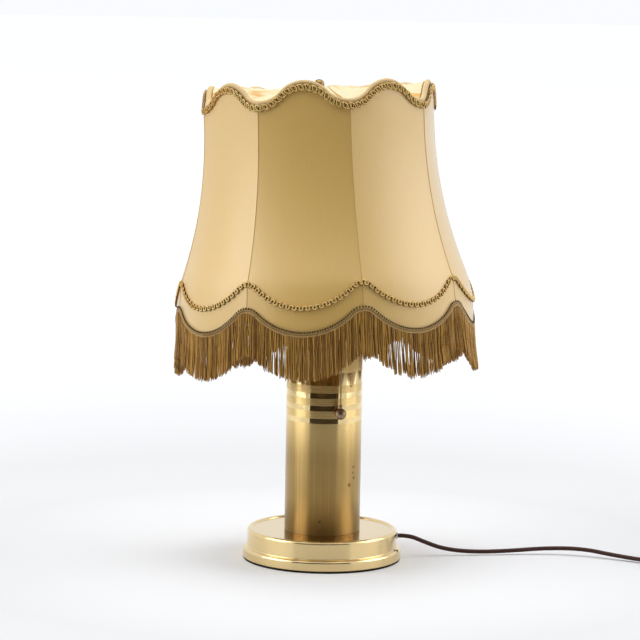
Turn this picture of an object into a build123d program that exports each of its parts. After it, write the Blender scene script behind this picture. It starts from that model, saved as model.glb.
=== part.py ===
from build123d import *
import os
from math import asin, ceil, copysign, cos, degrees, pi, radians, sin, sqrt, tan

os.makedirs("parts", exist_ok=True)

# Table lamp: spun brass base and column, harp, lampholder, eight-panel fabric shade, mains lead.
# The origin is the centre of the felt's underside, +Z is up and the front faces -Y.
# A heading is an angle in the floor plane from +X; a bearing is one from the front, positive to the right.

# Clearances
running_clearance = 0.06
seat_clearance = 0.1
soft_clearance = 0.2

# Base
felt_thickness = 2.0
felt_inset = 1.5
foot_edge = 0.8
flange_radius = 82.2
flange_height = 11.0
flange_round = 3.2
flange_cove = 1.0
base_wall_radius = 77.6
base_height = 32.0
base_sheet = 1.7
rim_round = 3.3
rim_stand = 1.6

# Weight in the base
weight_clearance = 0.5
nut_pocket_radius = 24.0
nut_pocket_depth = 20.0
lead_channel_width = 9.0
lead_channel_depth = 25.0

# Column and tie rod
column_radius = 39.1
column_wall = 1.5
column_height = 200.0
locator_height = 8.0
cap_plate = 3.0
cap_dome = 2.4
cap_edge_round = 1.2
rod_radius = 5.0
rod_bore_radius = 3.5
rod_stand = 7.0
washer_radius = 12.0
washer_thickness = 1.5
nut_width = 15.0
nut_thickness = 4.5

# Harp saddle
harp_heading = 25.0
saddle_width = 13.0
saddle_gauge = 1.8
ear_reach = 23.0
ear_rise = 10.5
pivot_rise = 6.0
pivot_pin_radius = 1.6
pivot_pin_length = 8.0

# Lampholder
socket_boss_radius = 8.5
socket_boss_height = 7.0
socket_radius = 20.5
socket_cap_height = 17.0
socket_sheet = 1.0
socket_shell_height = 38.0
socket_bead = 1.0
screw_shell_radius = 14.2
screw_shell_wall = 0.5
screw_shell_depth = 27.0
contact_radius = 4.5
contact_rise = 1.6

# Bulb
bulb_cap_radius = 13.2
bulb_cap_height = 26.0
bulb_radius = 30.0
bulb_height = 108.0
bulb_wall = 1.0
bulb_seat_gap = 0.3

# Pull switch
pull_bearing = 21.5
pull_reach = 46.0
guide_rise = 24.0
guide_arm_radius = 3.4
guide_drop = 19.0
guide_mouth_radius = 5.0
guide_mouth_height = 5.0
pull_cord_radius = 0.7
guide_bore_radius = 1.05
guide_bore_roof = 2.4
pull_cord_headroom = 0.8
pull_ball_radius = 5.9
pull_ball_drop = 84.0
pull_ferrule_radius = 1.9
pull_ferrule_height = 3.2

# Harp
shade_lean = 5.9
harp_wire_radius = 1.9
ferrule_radius = 3.6
ferrule_height = 17.0
harp_half_width = 60.0
harp_belly_low = 62.0
harp_belly_high = 150.0
harp_shoulder = 22.0
harp_side_rounds = [16.0, 45.0, 60.0, 16.0]
harp_height = 244.0
harp_boss_radius = 6.5
harp_boss_height = 7.6
stud_radius = 3.0
stud_rise = 8.6
stud_root = 4.0
finial_radius = 5.4
finial_height = 9.4

# Shade frame, by wire centre lines
panel_count = 8
shade_bearing = 14.6
hub_radius = 11.0
hub_thickness = 2.0
arm_radius = 1.5
spider_arm_count = 4
arm_weld = 1.0
vent_radius = 36.0
vent_wire_radius = 1.3
frame_wire_radius = 1.75
top_ring_inset = 1.3
bottom_ring_inset = 0.5
rib_top_radius = 119.2
rib_knee_radius = 147.6
crest_rise = 5.1
wave_depth = 19.6
wave_valley_round = 32.0
bell_straight = 21.0
bell_depth = 179.0
knee_round = 9.0
skirt_depth = 26.6
scallop_depth = 24.6
scallop_peak_round = 14.0
top_bow = 3.4
skirt_bow = 9.2
bell_steps = 8

# Shade cloth and trims
cloth_thickness = 0.8
seam_gap = 0.08
lining_thickness = 0.6
binding_radius = 3.2
cover_thickness = 0.8
cover_pleats = 5
pleat_depth = 2.4
top_gimp_width = 7.6
top_gimp_drop = 4.6
lower_gimp_width = 5.4
gimp_thickness = 1.6
fringe_header_width = 6.4
fringe_header_thickness = 1.9
fringe_length = 46.0
strands_per_panel = 48
strand_width = 1.55
strand_depth = 1.4
trim_overrun = 4.0

# Mains lead
lead_radius = 2.25
bush_heading = 7.0
bush_height = 22.6
bush_flange_radius = 3.8
bush_flange_thickness = 1.6
bush_neck_radius = 3.1
bush_barb = 0.5
bush_barb_length = 1.2
inner_lead_points = [(62.0, 22.6), (24.0, 9.5)]
inner_lead_floor = 8.0
inner_lead_rounds = [30.0, 18.0, 9.0]
lead_route = [
    (91.41, 11.22, 22.6),
    (107.0, 14.6, 15.4),
    (128.0, 19.0, 7.2),
    (158.0, 23.5, 3.6),
    (196.0, 30.0, 4.0),
    (236.0, 36.0, 6.6),
    (274.0, 31.0, 7.6),
    (306.0, 15.0, 4.4),
    (336.46, -2.72, 3.35),
]
coil_centre = (381.0, 8.7)
coil_start_heading = 243.0
coil_turns = 9.25
coil_layers = 4
coil_outer_radius = 30.4
coil_inner_radius = 18.7
coil_layer_pitch = 5.1
coil_lift = 1.1
tail_route = [(418.08, 14.5, 18.65), (420.8, 33.0, 12.4), (419.5, 51.0, 6.5)]
plug_entry = (415.0, 68.5)
tie_heading = 110.0
tie_width = 8.0
tie_thickness = 0.8
tie_slack = 0.8
plug_length = 36.0
plug_width = 26.0
plug_tail_width = 11.0
plug_shoulder = 14.0
plug_thickness = 13.0
plug_edge_round = 2.5
pin_radius = 2.0
pin_length = 19.0
pin_spacing = 18.6
pin_root = 6.0

# Heights worked out from the stack
base_top = base_height - rim_stand
column_top = base_top + column_height
cap_top = column_top + cap_plate + cap_dome
saddle_top = cap_top + saddle_gauge
pivot_height = cap_top + pivot_rise
rod_hole_radius = rod_radius + running_clearance
pocket_roof = felt_thickness + nut_pocket_depth
rod_foot = pocket_roof - washer_thickness - nut_thickness
rod_top = saddle_top + socket_boss_height + rod_stand
socket_shell_foot = saddle_top + socket_cap_height
socket_mouth = socket_shell_foot + socket_shell_height
screw_shell_foot = socket_mouth - screw_shell_depth
contact_top = screw_shell_foot + contact_rise
bulb_foot = contact_top + bulb_seat_gap
harp_top = pivot_height + harp_height
hub_foot = harp_top + seat_clearance
hub_top = hub_foot + hub_thickness
crest_height = hub_foot + crest_rise
valley_height = crest_height - wave_depth
bell_start = valley_height - bell_straight
knee_height = valley_height - bell_depth
hem_height = knee_height - skirt_depth

# Directions
ear_direction = Vector(cos(radians(harp_heading)), sin(radians(harp_heading)), 0)
bush_direction = Vector(cos(radians(bush_heading)), sin(radians(bush_heading)), 0)
pull_direction = Vector(sin(radians(pull_bearing)), -cos(radians(pull_bearing)), 0)
rock_axis = Axis((0, 0, pivot_height), -ear_direction)
half_panel = 180 / panel_count
panel_bearing = shade_bearing - half_panel


def save(part, name):
    part.label = name
    export_step(part, f"parts/{name}.step")


def leaning(part):
    return part.rotate(rock_axis, shade_lean)


def upright_plane(direction):
    return Plane(origin=(0, 0, 0), x_dir=direction, z_dir=direction.cross(Vector(0, 0, 1)))


def polar(radius, angle):
    return (radius * cos(radians(angle)), radius * sin(radians(angle)))


# Felt under the base
with BuildPart() as felt_pad:
    with BuildSketch():
        Circle(flange_radius - felt_inset)
    extrude(amount=felt_thickness)
save(felt_pad.part, "felt_pad")

# Spun shell: rounded flange, cove, wall, rolled rim and recessed flat top
flange_top = felt_thickness + flange_height
rim_centre = (base_wall_radius - rim_round, base_height - rim_round)
rim_foot = rim_centre[0] - sqrt(rim_round**2 - (base_top - rim_centre[1]) ** 2)
wall_inside = base_wall_radius - base_sheet
foot_inside = flange_radius - felt_inset - base_sheet
bush_seat = Plane(
    origin=bush_direction * base_wall_radius + Vector(0, 0, bush_height), z_dir=bush_direction
)
with BuildPart() as base_shell:
    with BuildSketch(Plane.XZ):
        with BuildLine():
            Line((rod_hole_radius, base_top), (rim_foot, base_top))
            ThreePointArc(
                (rim_foot, base_top), (rim_centre[0], base_height), (base_wall_radius, rim_centre[1])
            )
            Line((base_wall_radius, rim_centre[1]), (base_wall_radius, flange_top + flange_cove))
            CenterArc(
                (base_wall_radius + flange_cove, flange_top + flange_cove), flange_cove, 180, 90
            )
            Line((base_wall_radius + flange_cove, flange_top), (flange_radius - flange_round, flange_top))
            CenterArc((flange_radius - flange_round, flange_top - flange_round), flange_round, 90, -90)
            Polyline(
                (flange_radius, flange_top - flange_round),
                (flange_radius, felt_thickness + foot_edge),
                (flange_radius - foot_edge, felt_thickness),
                (foot_inside, felt_thickness),
                (foot_inside, flange_top - base_sheet),
                (wall_inside, flange_top - base_sheet),
                (wall_inside, base_top - base_sheet),
                (rod_hole_radius, base_top - base_sheet),
                (rod_hole_radius, base_top),
            )
        make_face()
    revolve(axis=Axis.Z)
    with BuildSketch(bush_seat):
        Circle(bush_neck_radius + seat_clearance)
    extrude(amount=flange_radius - wall_inside, both=True, mode=Mode.SUBTRACT)
save(base_shell.part, "base_shell")

# Iron weight with the nut pocket and the lead's channel in its underside
weight_radius = wall_inside - weight_clearance
with BuildPart() as base_weight:
    with BuildSketch(Plane.XY.offset(felt_thickness)):
        Circle(weight_radius)
    extrude(amount=base_top - base_sheet - felt_thickness)
    with BuildSketch(Plane.XY.offset(felt_thickness)):
        Circle(nut_pocket_radius)
    extrude(amount=nut_pocket_depth, mode=Mode.SUBTRACT)
    with BuildSketch(Plane(origin=(0, 0, felt_thickness), x_dir=bush_direction, z_dir=(0, 0, 1))):
        with Locations((weight_radius / 2, 0)):
            Rectangle(weight_radius + 2 * lead_radius, lead_channel_width)
    extrude(amount=lead_channel_depth, mode=Mode.SUBTRACT)
    with BuildSketch(Plane.XY):
        Circle(rod_hole_radius)
    extrude(amount=base_height, mode=Mode.SUBTRACT)
save(base_weight.part, "base_weight")

# Threaded tube, washer and nut that hold the column down
with BuildPart() as tie_rod:
    with BuildSketch(Plane.XY.offset(rod_foot)):
        Circle(rod_radius)
        Circle(rod_bore_radius, mode=Mode.SUBTRACT)
    extrude(amount=rod_top - rod_foot)
save(tie_rod.part, "tie_rod")

with BuildPart() as lower_washer:
    with BuildSketch(Plane.XY.offset(pocket_roof - washer_thickness)):
        Circle(washer_radius)
        Circle(rod_hole_radius, mode=Mode.SUBTRACT)
    extrude(amount=washer_thickness)
save(lower_washer.part, "lower_washer")

with BuildPart() as lower_nut:
    with BuildSketch(Plane.XY.offset(rod_foot)):
        RegularPolygon(nut_width / 2, 6, major_radius=False)
        Circle(rod_hole_radius, mode=Mode.SUBTRACT)
    extrude(amount=nut_thickness)
save(lower_nut.part, "lower_nut")

# Column: locating disc, tube and domed cap
column_bore = column_radius - column_wall
with BuildPart() as column_locator:
    with BuildSketch(Plane.XY.offset(base_top)):
        Circle(column_bore - seat_clearance)
        Circle(rod_hole_radius, mode=Mode.SUBTRACT)
    extrude(amount=locator_height)
save(column_locator.part, "column_locator")

with BuildPart() as column_tube:
    with BuildSketch(Plane.XY.offset(base_top)):
        Circle(column_radius)
        Circle(column_bore, mode=Mode.SUBTRACT)
    extrude(amount=column_height)
save(column_tube.part, "column_tube")

cap_plate_top = column_top + cap_plate
with BuildPart() as column_cap:
    with BuildSketch(Plane.XZ):
        with BuildLine():
            Polyline(
                (rod_hole_radius, cap_top),
                (rod_hole_radius, column_top - locator_height),
                (column_bore - seat_clearance, column_top - locator_height),
                (column_bore - seat_clearance, column_top),
                (column_radius, column_top),
                (column_radius, cap_plate_top - cap_edge_round),
            )
            CenterArc(
                (column_radius - cap_edge_round, cap_plate_top - cap_edge_round), cap_edge_round, 0, 90
            )
            Polyline(
                (column_radius - cap_edge_round, cap_plate_top),
                (ear_reach + pivot_pin_length, cap_top),
                (rod_hole_radius, cap_top),
            )
        make_face()
    revolve(axis=Axis.Z)
save(column_cap.part, "column_cap")

# Saddle: strip on the cap with two upturned ears and a pivot pin outside each
with BuildPart() as harp_saddle:
    with BuildSketch(Plane(origin=(0, 0, cap_top), x_dir=ear_direction, z_dir=(0, 0, 1))):
        Rectangle(2 * ear_reach, saddle_width)
        Circle(rod_hole_radius, mode=Mode.SUBTRACT)
    extrude(amount=saddle_gauge)
    for side in (1, -1):
        with BuildSketch(
            Plane(
                origin=ear_direction * side * ear_reach + Vector(0, 0, cap_top),
                x_dir=(0, 0, 1),
                z_dir=ear_direction * -side,
            )
        ):
            with Locations((ear_rise / 2, 0)):
                Rectangle(ear_rise, saddle_width)
            with Locations((ear_rise, 0)):
                Circle(saddle_width / 2)
        extrude(amount=saddle_gauge)
        with BuildSketch(
            Plane(
                origin=ear_direction * side * ear_reach + Vector(0, 0, pivot_height),
                z_dir=ear_direction * side,
            )
        ):
            Circle(pivot_pin_radius)
        extrude(amount=pivot_pin_length)
save(harp_saddle.part, "harp_saddle")

# Lampholder: cap on the rod, shell, insulating body, screw shell and centre contact
with BuildPart() as socket_cap:
    with BuildSketch(Plane.XZ):
        with BuildLine():
            Polyline(
                (rod_hole_radius, saddle_top + socket_boss_height),
                (rod_hole_radius, saddle_top),
                (socket_boss_radius, saddle_top),
                (socket_boss_radius, saddle_top + socket_boss_height - socket_sheet),
            )
            ThreePointArc(
                (socket_boss_radius, saddle_top + socket_boss_height - socket_sheet),
                (
                    (socket_boss_radius + 2 * socket_radius) / 3,
                    (saddle_top + socket_boss_height + socket_shell_foot) / 2 - 2 * socket_sheet,
                ),
                (socket_radius, socket_shell_foot),
            )
            Line((socket_radius, socket_shell_foot), (socket_radius - socket_sheet, socket_shell_foot))
            ThreePointArc(
                (socket_radius - socket_sheet, socket_shell_foot),
                (
                    (socket_boss_radius + 2 * socket_radius) / 3 - socket_sheet,
                    (saddle_top + socket_boss_height + socket_shell_foot) / 2 - socket_sheet,
                ),
                (socket_boss_radius, saddle_top + socket_boss_height),
            )
            Line(
                (socket_boss_radius, saddle_top + socket_boss_height),
                (rod_hole_radius, saddle_top + socket_boss_height),
            )
        make_face()
    revolve(axis=Axis.Z)
save(socket_cap.part, "socket_cap")

guide_height = socket_shell_foot + guide_rise - socket_cap_height
guide_arm_plane = Plane(origin=Vector(0, 0, guide_height), z_dir=pull_direction)
with BuildPart() as socket_shell:
    with BuildSketch(Plane.XZ):
        with BuildLine():
            Polyline(
                (socket_radius - socket_sheet, socket_shell_foot),
                (socket_radius, socket_shell_foot),
                (socket_radius, socket_mouth - 2 * socket_bead),
            )
            ThreePointArc(
                (socket_radius, socket_mouth - 2 * socket_bead),
                (socket_radius + socket_bead, socket_mouth - socket_bead),
                (socket_radius, socket_mouth),
            )
            Polyline(
                (socket_radius, socket_mouth),
                (socket_radius - socket_sheet, socket_mouth),
                (socket_radius - socket_sheet, socket_shell_foot),
            )
        make_face()
    revolve(axis=Axis.Z)
    with BuildSketch(guide_arm_plane):
        Circle(guide_arm_radius + seat_clearance)
    extrude(amount=2 * socket_radius, mode=Mode.SUBTRACT)
save(socket_shell.part, "socket_shell")

socket_body_radius = socket_radius - socket_sheet - seat_clearance
with BuildPart() as socket_body:
    with BuildSketch(Plane.XY.offset(socket_shell_foot)):
        Circle(socket_body_radius)
    extrude(amount=socket_shell_height)
    with BuildSketch(Plane.XY.offset(screw_shell_foot)):
        Circle(screw_shell_radius + seat_clearance)
    extrude(amount=screw_shell_depth, mode=Mode.SUBTRACT)
save(socket_body.part, "socket_body")

with BuildPart() as screw_shell:
    with BuildSketch(Plane.XY.offset(screw_shell_foot)):
        Circle(screw_shell_radius)
        Circle(screw_shell_radius - screw_shell_wall, mode=Mode.SUBTRACT)
    extrude(amount=screw_shell_depth)
save(screw_shell.part, "screw_shell")

contact_round = (contact_radius**2 + contact_rise**2) / (2 * contact_rise)
contact_angle = degrees(asin(contact_radius / contact_round))
with BuildPart() as centre_contact:
    with BuildSketch(Plane.XZ):
        with BuildLine():
            Line((0, screw_shell_foot), (contact_radius, screw_shell_foot))
            CenterArc((0, contact_top - contact_round), contact_round, 90 - contact_angle, contact_angle)
            Line((0, contact_top), (0, screw_shell_foot))
        make_face()
    revolve(axis=Axis.Z)
save(centre_contact.part, "centre_contact")

# Switch guide: arm out of the lampholder's side with a bell mouth that points down
guide_centre = pull_direction * pull_reach + Vector(0, 0, guide_height)
guide_mouth = guide_height - guide_drop
bore_roof = guide_height + guide_arm_radius - guide_bore_roof
with BuildPart() as switch_guide:
    with BuildSketch(guide_arm_plane.offset(socket_body_radius + seat_clearance)):
        Circle(guide_arm_radius)
    extrude(amount=pull_reach - socket_body_radius - seat_clearance)
    with BuildSketch(Plane(origin=guide_centre - Vector(0, 0, guide_drop - guide_mouth_height))):
        Circle(guide_arm_radius)
    extrude(amount=guide_drop - guide_mouth_height + guide_arm_radius)
    with BuildSketch(Plane(origin=guide_centre - Vector(0, 0, guide_drop))):
        Circle(guide_mouth_radius)
    with BuildSketch(Plane(origin=guide_centre - Vector(0, 0, guide_drop - guide_mouth_height))):
        Circle(guide_arm_radius)
    loft()
    with BuildSketch(Plane(origin=guide_centre - Vector(0, 0, guide_drop))):
        Circle(guide_bore_radius)
    extrude(amount=bore_roof - guide_mouth, mode=Mode.SUBTRACT)
save(switch_guide.part, "switch_guide")

# Pull cord and ball: the cord's top stays in the guide's bore over the whole pull
ball_centre = guide_centre - Vector(0, 0, guide_drop + pull_ball_drop)
cord_top = bore_roof - pull_cord_headroom
with BuildPart() as pull_ball:
    with Locations(ball_centre):
        Sphere(pull_ball_radius)
    with BuildSketch(Plane(origin=ball_centre)):
        Circle(pull_ferrule_radius)
    extrude(amount=pull_ball_radius + pull_ferrule_height)
    with BuildSketch(Plane(origin=ball_centre)):
        Circle(pull_cord_radius + running_clearance)
    extrude(amount=2 * pull_ball_radius + pull_ferrule_height, mode=Mode.SUBTRACT)
save(pull_ball.part, "pull_ball")

with BuildPart() as pull_cord:
    with BuildSketch(Plane(origin=ball_centre)):
        Circle(pull_cord_radius)
    extrude(amount=cord_top - ball_centre.Z)
save(pull_cord.part, "pull_cord")

# Bulb: screw cap with its contact, and a hollow pear-shaped glass
bulb_cap_top = bulb_foot + bulb_cap_height
bulb_centre = bulb_foot + bulb_height - bulb_radius
with BuildPart() as bulb_cap:
    with BuildSketch(Plane.XZ):
        with BuildLine():
            Polyline(
                (0, bulb_foot),
                (contact_radius, bulb_foot),
                (contact_radius + contact_rise, bulb_foot + contact_rise),
                (bulb_cap_radius, bulb_foot + 3 * contact_rise),
                (bulb_cap_radius, bulb_cap_top),
                (0, bulb_cap_top),
                (0, bulb_foot),
            )
        make_face()
    revolve(axis=Axis.Z)
save(bulb_cap.part, "bulb_cap")

with BuildPart() as bulb_glass:
    for skin, merge in ((0, Mode.ADD), (bulb_wall, Mode.SUBTRACT)):
        with BuildSketch(Plane.XZ):
            with BuildLine():
                neck = (bulb_cap_radius - bulb_wall - skin, bulb_cap_top)
                belly = (bulb_radius - skin, bulb_centre)
                TangentArc(belly, neck, tangent=(0, -1))
                CenterArc((0, bulb_centre), bulb_radius - skin, 0, 90)
                Polyline((0, bulb_centre + bulb_radius - skin), (0, bulb_cap_top), neck)
            make_face()
        revolve(axis=Axis.Z, mode=merge)
save(bulb_glass.part, "bulb_glass")

# Harp: bent wire with a pivoting ferrule at each foot and a boss for the stud at the top.
# The flat feet of the ferrules meet the column cap when the harp has rocked by the lean, to either side.
lean_turn = radians(shade_lean)
ferrule_drop = (pivot_rise - seat_clearance - ferrule_radius * sin(lean_turn)) / cos(lean_turn)
harp_foot = ear_reach + pivot_pin_length / 2
ferrule_foot = pivot_height - ferrule_drop
harp_wire_top = harp_top - harp_boss_height / 2
harp_corners = [
    (harp_foot, ferrule_foot + ferrule_height - ferrule_radius),
    (harp_foot, ferrule_foot + ferrule_height + 3 * ferrule_radius),
    (harp_half_width, pivot_height + harp_belly_low),
    (harp_half_width, pivot_height + harp_belly_high),
    (harp_shoulder, harp_wire_top),
]
harp_plane = upright_plane(ear_direction)
with BuildPart() as harp:
    with BuildLine(harp_plane) as harp_line:
        FilletPolyline(
            harp_corners + [(-x, z) for x, z in harp_corners[::-1]],
            radius=harp_side_rounds + harp_side_rounds[::-1],
        )
    with BuildSketch(Plane(origin=harp_line.line @ 0, z_dir=harp_line.line % 0)):
        Circle(harp_wire_radius)
    sweep()
    for side in (1, -1):
        with BuildSketch(Plane(origin=ear_direction * side * harp_foot + Vector(0, 0, ferrule_foot))):
            Circle(ferrule_radius)
        extrude(amount=ferrule_height)
        with BuildSketch(
            Plane(
                origin=ear_direction * side * harp_foot + Vector(0, 0, pivot_height), z_dir=ear_direction
            )
        ):
            Circle(pivot_pin_radius + running_clearance)
        extrude(amount=2 * ferrule_radius, both=True, mode=Mode.SUBTRACT)
    with BuildSketch(Plane.XY.offset(harp_top - harp_boss_height)):
        Circle(harp_boss_radius)
    extrude(amount=harp_boss_height)
    with BuildSketch(Plane.XY.offset(harp_top - stud_root)):
        Circle(stud_radius + running_clearance)
    extrude(amount=stud_root, mode=Mode.SUBTRACT)
save(leaning(harp.part), "harp")

with BuildPart() as harp_stud:
    with BuildSketch(Plane.XY.offset(harp_top - stud_root)):
        Circle(stud_radius)
    extrude(amount=stud_root + stud_rise)
save(leaning(harp_stud.part), "harp_stud")

# Finial: low domed cap nut, closed over the stud
finial_foot = hub_top + seat_clearance
finial_shoulder = finial_foot + finial_height - finial_radius
with BuildPart() as finial:
    with BuildSketch(Plane.XZ):
        with BuildLine():
            Polyline((0, finial_foot), (finial_radius, finial_foot), (finial_radius, finial_shoulder))
            CenterArc((0, finial_shoulder), finial_radius, 0, 90)
            Line((0, finial_foot + finial_height), (0, finial_foot))
        make_face()
    revolve(axis=Axis.Z)
    with BuildSketch(Plane.XY.offset(finial_foot)):
        Circle(stud_radius + running_clearance)
    extrude(amount=harp_top + stud_rise + seat_clearance - finial_foot, mode=Mode.SUBTRACT)
save(leaning(finial.part), "finial")

# Spider: hub on the stud, arms to the ribs' tops and a vent ring across the arms
with BuildPart() as spider_hub:
    with BuildSketch(Plane.XY.offset(hub_foot)):
        Circle(hub_radius)
        Circle(stud_radius + running_clearance, mode=Mode.SUBTRACT)
    extrude(amount=hub_thickness)
save(leaning(spider_hub.part), "spider_hub")

arm_inner = Vector(0, -(hub_radius - arm_weld), hub_foot + hub_thickness / 2)
arm_outer = Vector(
    0, -(rib_top_radius - arm_weld), valley_height - binding_radius - arm_radius - soft_clearance
)
arm_plane = Plane(origin=arm_inner, z_dir=arm_outer - arm_inner)
with BuildPart() as spider_arm:
    with BuildSketch(arm_plane):
        Circle(arm_radius)
    extrude(amount=(arm_outer - arm_inner).length)
with BuildPart() as spider_arms:
    with PolarLocations(0, spider_arm_count, start_angle=shade_bearing):
        add(spider_arm.part)
save(leaning(spider_arms.part), "spider_arms")

vent_share = (vent_radius - hub_radius) / (rib_top_radius - hub_radius)
arm_height = arm_inner.Z + (arm_outer.Z - arm_inner.Z) * vent_share
vent_height = arm_height + arm_radius + vent_wire_radius - arm_weld / 2
with BuildPart() as vent_ring:
    with BuildSketch(Plane.XZ):
        with Locations((vent_radius, vent_height)):
            Circle(vent_wire_radius)
    revolve(axis=Axis.Z)
save(leaning(vent_ring.part), "vent_ring")

# Shade outline: the ribs fall straight, flare along one arc to the knee and drop straight to the hem
flare = rib_knee_radius - rib_top_radius
flare_depth = bell_start - knee_height
flare_radius = (flare_depth**2 + flare**2) / (2 * flare)


def rib_radius(height):
    fall = min(max(bell_start - height, 0), flare_depth)
    return rib_top_radius + flare_radius - sqrt(flare_radius**2 - fall**2)


def bow(height):
    share = min(max((crest_height - height) / (crest_height - knee_height), 0), 1)
    return top_bow + (skirt_bow - top_bow) * share**2


def mid_radius(height):
    return rib_radius(height) * cos(radians(half_panel)) + bow(height)


# A smooth line between two places as two tangent arcs, with a given direction at each end
def biarc(start, leave, end, arrive):
    chord = end - start
    turn = 1 - leave.dot(arrive)
    onward = chord.dot(leave + arrive)
    arm = chord.length**2 / (onward / 2 + sqrt(onward**2 / 4 + turn * chord.length**2 / 2)) / 2
    joint = (start + leave * arm + end - arrive * arm) * 0.5
    first_arc = TangentArc(start, joint, tangent=leave)
    TangentArc(joint, end, tangent=first_arc % 1)


# A trim line swings between rib and panel middle on two arcs that meet at the steepest place
def wave_arcs(mid_height, rib_height, half_width, rib_round):
    rise = rib_height - mid_height
    both_rounds = (half_width**2 + rise**2) / (2 * abs(rise))
    return both_rounds - rib_round, copysign(1, rise), asin(half_width / both_rounds)


# Places and directions along a closed wire: rib, steepest place, middle and steepest place of each panel
def ring_stops(rib_height, mid_height, rib_round, inset):
    rib = rib_radius(rib_height) - inset
    mid = mid_radius(mid_height) - inset
    half_width = rib * sin(radians(half_panel))
    sag = mid - rib * cos(radians(half_panel))
    plan_round = (half_width**2 + sag**2) / (2 * sag)
    mid_round, way, slope = wave_arcs(mid_height, rib_height, half_width, rib_round)
    meet = mid_round * sin(slope)
    meet_height = mid_height + way * mid_round * (1 - cos(slope))
    meet_out = plan_round - mid - sqrt(plan_round**2 - meet**2)
    plan_turn = asin(meet / plan_round)
    along = cos(slope)
    panel_stops = [
        (Vector(*polar(rib, -90 - half_panel), rib_height), Vector(*polar(1, -half_panel), 0)),
        (
            Vector(-meet, meet_out, meet_height),
            Vector(cos(plan_turn) * along, -sin(plan_turn) * along, -way * sin(slope)),
        ),
        (Vector(0, -mid, mid_height), Vector(1, 0, 0)),
        (
            Vector(meet, meet_out, meet_height),
            Vector(cos(plan_turn) * along, sin(plan_turn) * along, way * sin(slope)),
        ),
    ]
    stops = []
    for index in range(panel_count):
        turn = panel_bearing + index * 2 * half_panel
        for place, heading in panel_stops:
            stops.append((place.rotate(Axis.Z, turn), heading.rotate(Axis.Z, turn)))
    return stops + stops[:1]


def ring_line(rib_height, mid_height, rib_round, inset):
    stops = ring_stops(rib_height, mid_height, rib_round, inset)
    for stop, next_stop in zip(stops, stops[1:]):
        biarc(*stop, *next_stop)


knee_corner = (-rib_knee_radius, knee_height)
with BuildPart() as top_wire:
    with BuildLine() as top_line:
        ring_line(valley_height, crest_height, wave_valley_round, top_ring_inset)
    with BuildSketch(Plane(origin=top_line.line @ 0, z_dir=top_line.line % 0)):
        Circle(frame_wire_radius)
    sweep()
save(leaning(top_wire.part), "top_wire")

with BuildPart() as rim_binding:
    with BuildLine() as binding_line:
        ring_line(valley_height, crest_height, wave_valley_round, top_ring_inset)
    with BuildSketch(Plane(origin=binding_line.line @ 0, z_dir=binding_line.line % 0)):
        Circle(binding_radius)
        Circle(frame_wire_radius + seat_clearance, mode=Mode.SUBTRACT)
    sweep()
    with BuildSketch(Plane.XY.offset(valley_height - 2 * binding_radius)):
        with PolarLocations(rib_top_radius, panel_count, start_angle=shade_bearing - 90):
            Circle(frame_wire_radius + soft_clearance)
    extrude(amount=2 * binding_radius + frame_wire_radius + soft_clearance, mode=Mode.SUBTRACT)
save(leaning(rim_binding.part), "rim_binding")

with BuildPart() as bottom_wire:
    with BuildLine() as bottom_line:
        ring_line(hem_height, hem_height - scallop_depth, scallop_peak_round, bottom_ring_inset)
    with BuildSketch(Plane(origin=bottom_line.line @ 0, z_dir=bottom_line.line % 0)):
        Circle(frame_wire_radius)
    sweep()
save(leaning(bottom_wire.part), "bottom_wire")

with BuildPart() as shade_rib:
    with BuildLine(Plane.YZ) as rib_line:
        Line((-rib_top_radius, valley_height), (-rib_top_radius, bell_start))
        TangentArc((-rib_top_radius, bell_start), knee_corner, tangent=(0, -1))
        Line(knee_corner, (-rib_knee_radius, hem_height))
        fillet(rib_line.vertices().sort_by(Axis.Z)[1], knee_round)
    with BuildSketch(Plane(origin=rib_line.line @ 0, z_dir=rib_line.line % 0)):
        Circle(frame_wire_radius)
    sweep()
with BuildPart() as shade_ribs:
    with PolarLocations(0, panel_count, start_angle=shade_bearing):
        add(shade_rib.part)
save(leaning(shade_ribs.part), "shade_ribs")


# Draws one edge of a trim across a panel, seen from the front: an arc at each rib runs into the middle arc.
# The shift moves the edge up at an even distance from the line.
def wave_edge(mid_height, rib_height, half_width, rib_round, shift):
    mid_round, way, slope = wave_arcs(mid_height, rib_height, half_width, rib_round)
    shifted_round = mid_round - way * shift
    meet = shifted_round * sin(slope)
    meet_height = mid_height + way * (mid_round - shifted_round * cos(slope))
    outer = half_width + trim_overrun
    middle = ThreePointArc((-meet, meet_height), (0, mid_height + shift), (meet, meet_height))
    for side, near, heading in ((-1, middle @ 0, middle % 0 * -1), (1, middle @ 1, middle % 1)):
        TangentArc(near, (side * half_width, rib_height + shift), tangent=heading)
        Line((side * half_width, rib_height + shift), (side * outer, rib_height + shift))
    return outer, rib_height + shift


cloth_standoff = frame_wire_radius + soft_clearance
cloth_face = cloth_standoff + cloth_thickness
top_half_width = (rib_top_radius + cloth_face) * sin(radians(half_panel))
hem_half_width = (rib_knee_radius + cloth_face) * sin(radians(half_panel))


def top_edge(shift):
    return wave_edge(crest_height, valley_height, top_half_width, wave_valley_round, shift)


def scallop_edge(rib_height, shift):
    return wave_edge(rib_height - scallop_depth, rib_height, hem_half_width, scallop_peak_round, shift)


# Keeps what lies between two edges of the panel in front
def trim_between(upper, lower):
    with BuildSketch(Plane.XZ) as outline:
        with BuildLine():
            upper_end = upper()
            lower_end = lower()
            for side in (-1, 1):
                Line((side * upper_end[0], upper_end[1]), (side * lower_end[0], lower_end[1]))
        make_face()
    extrude(outline.sketch, amount=2 * rib_knee_radius, mode=Mode.INTERSECT)


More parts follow.
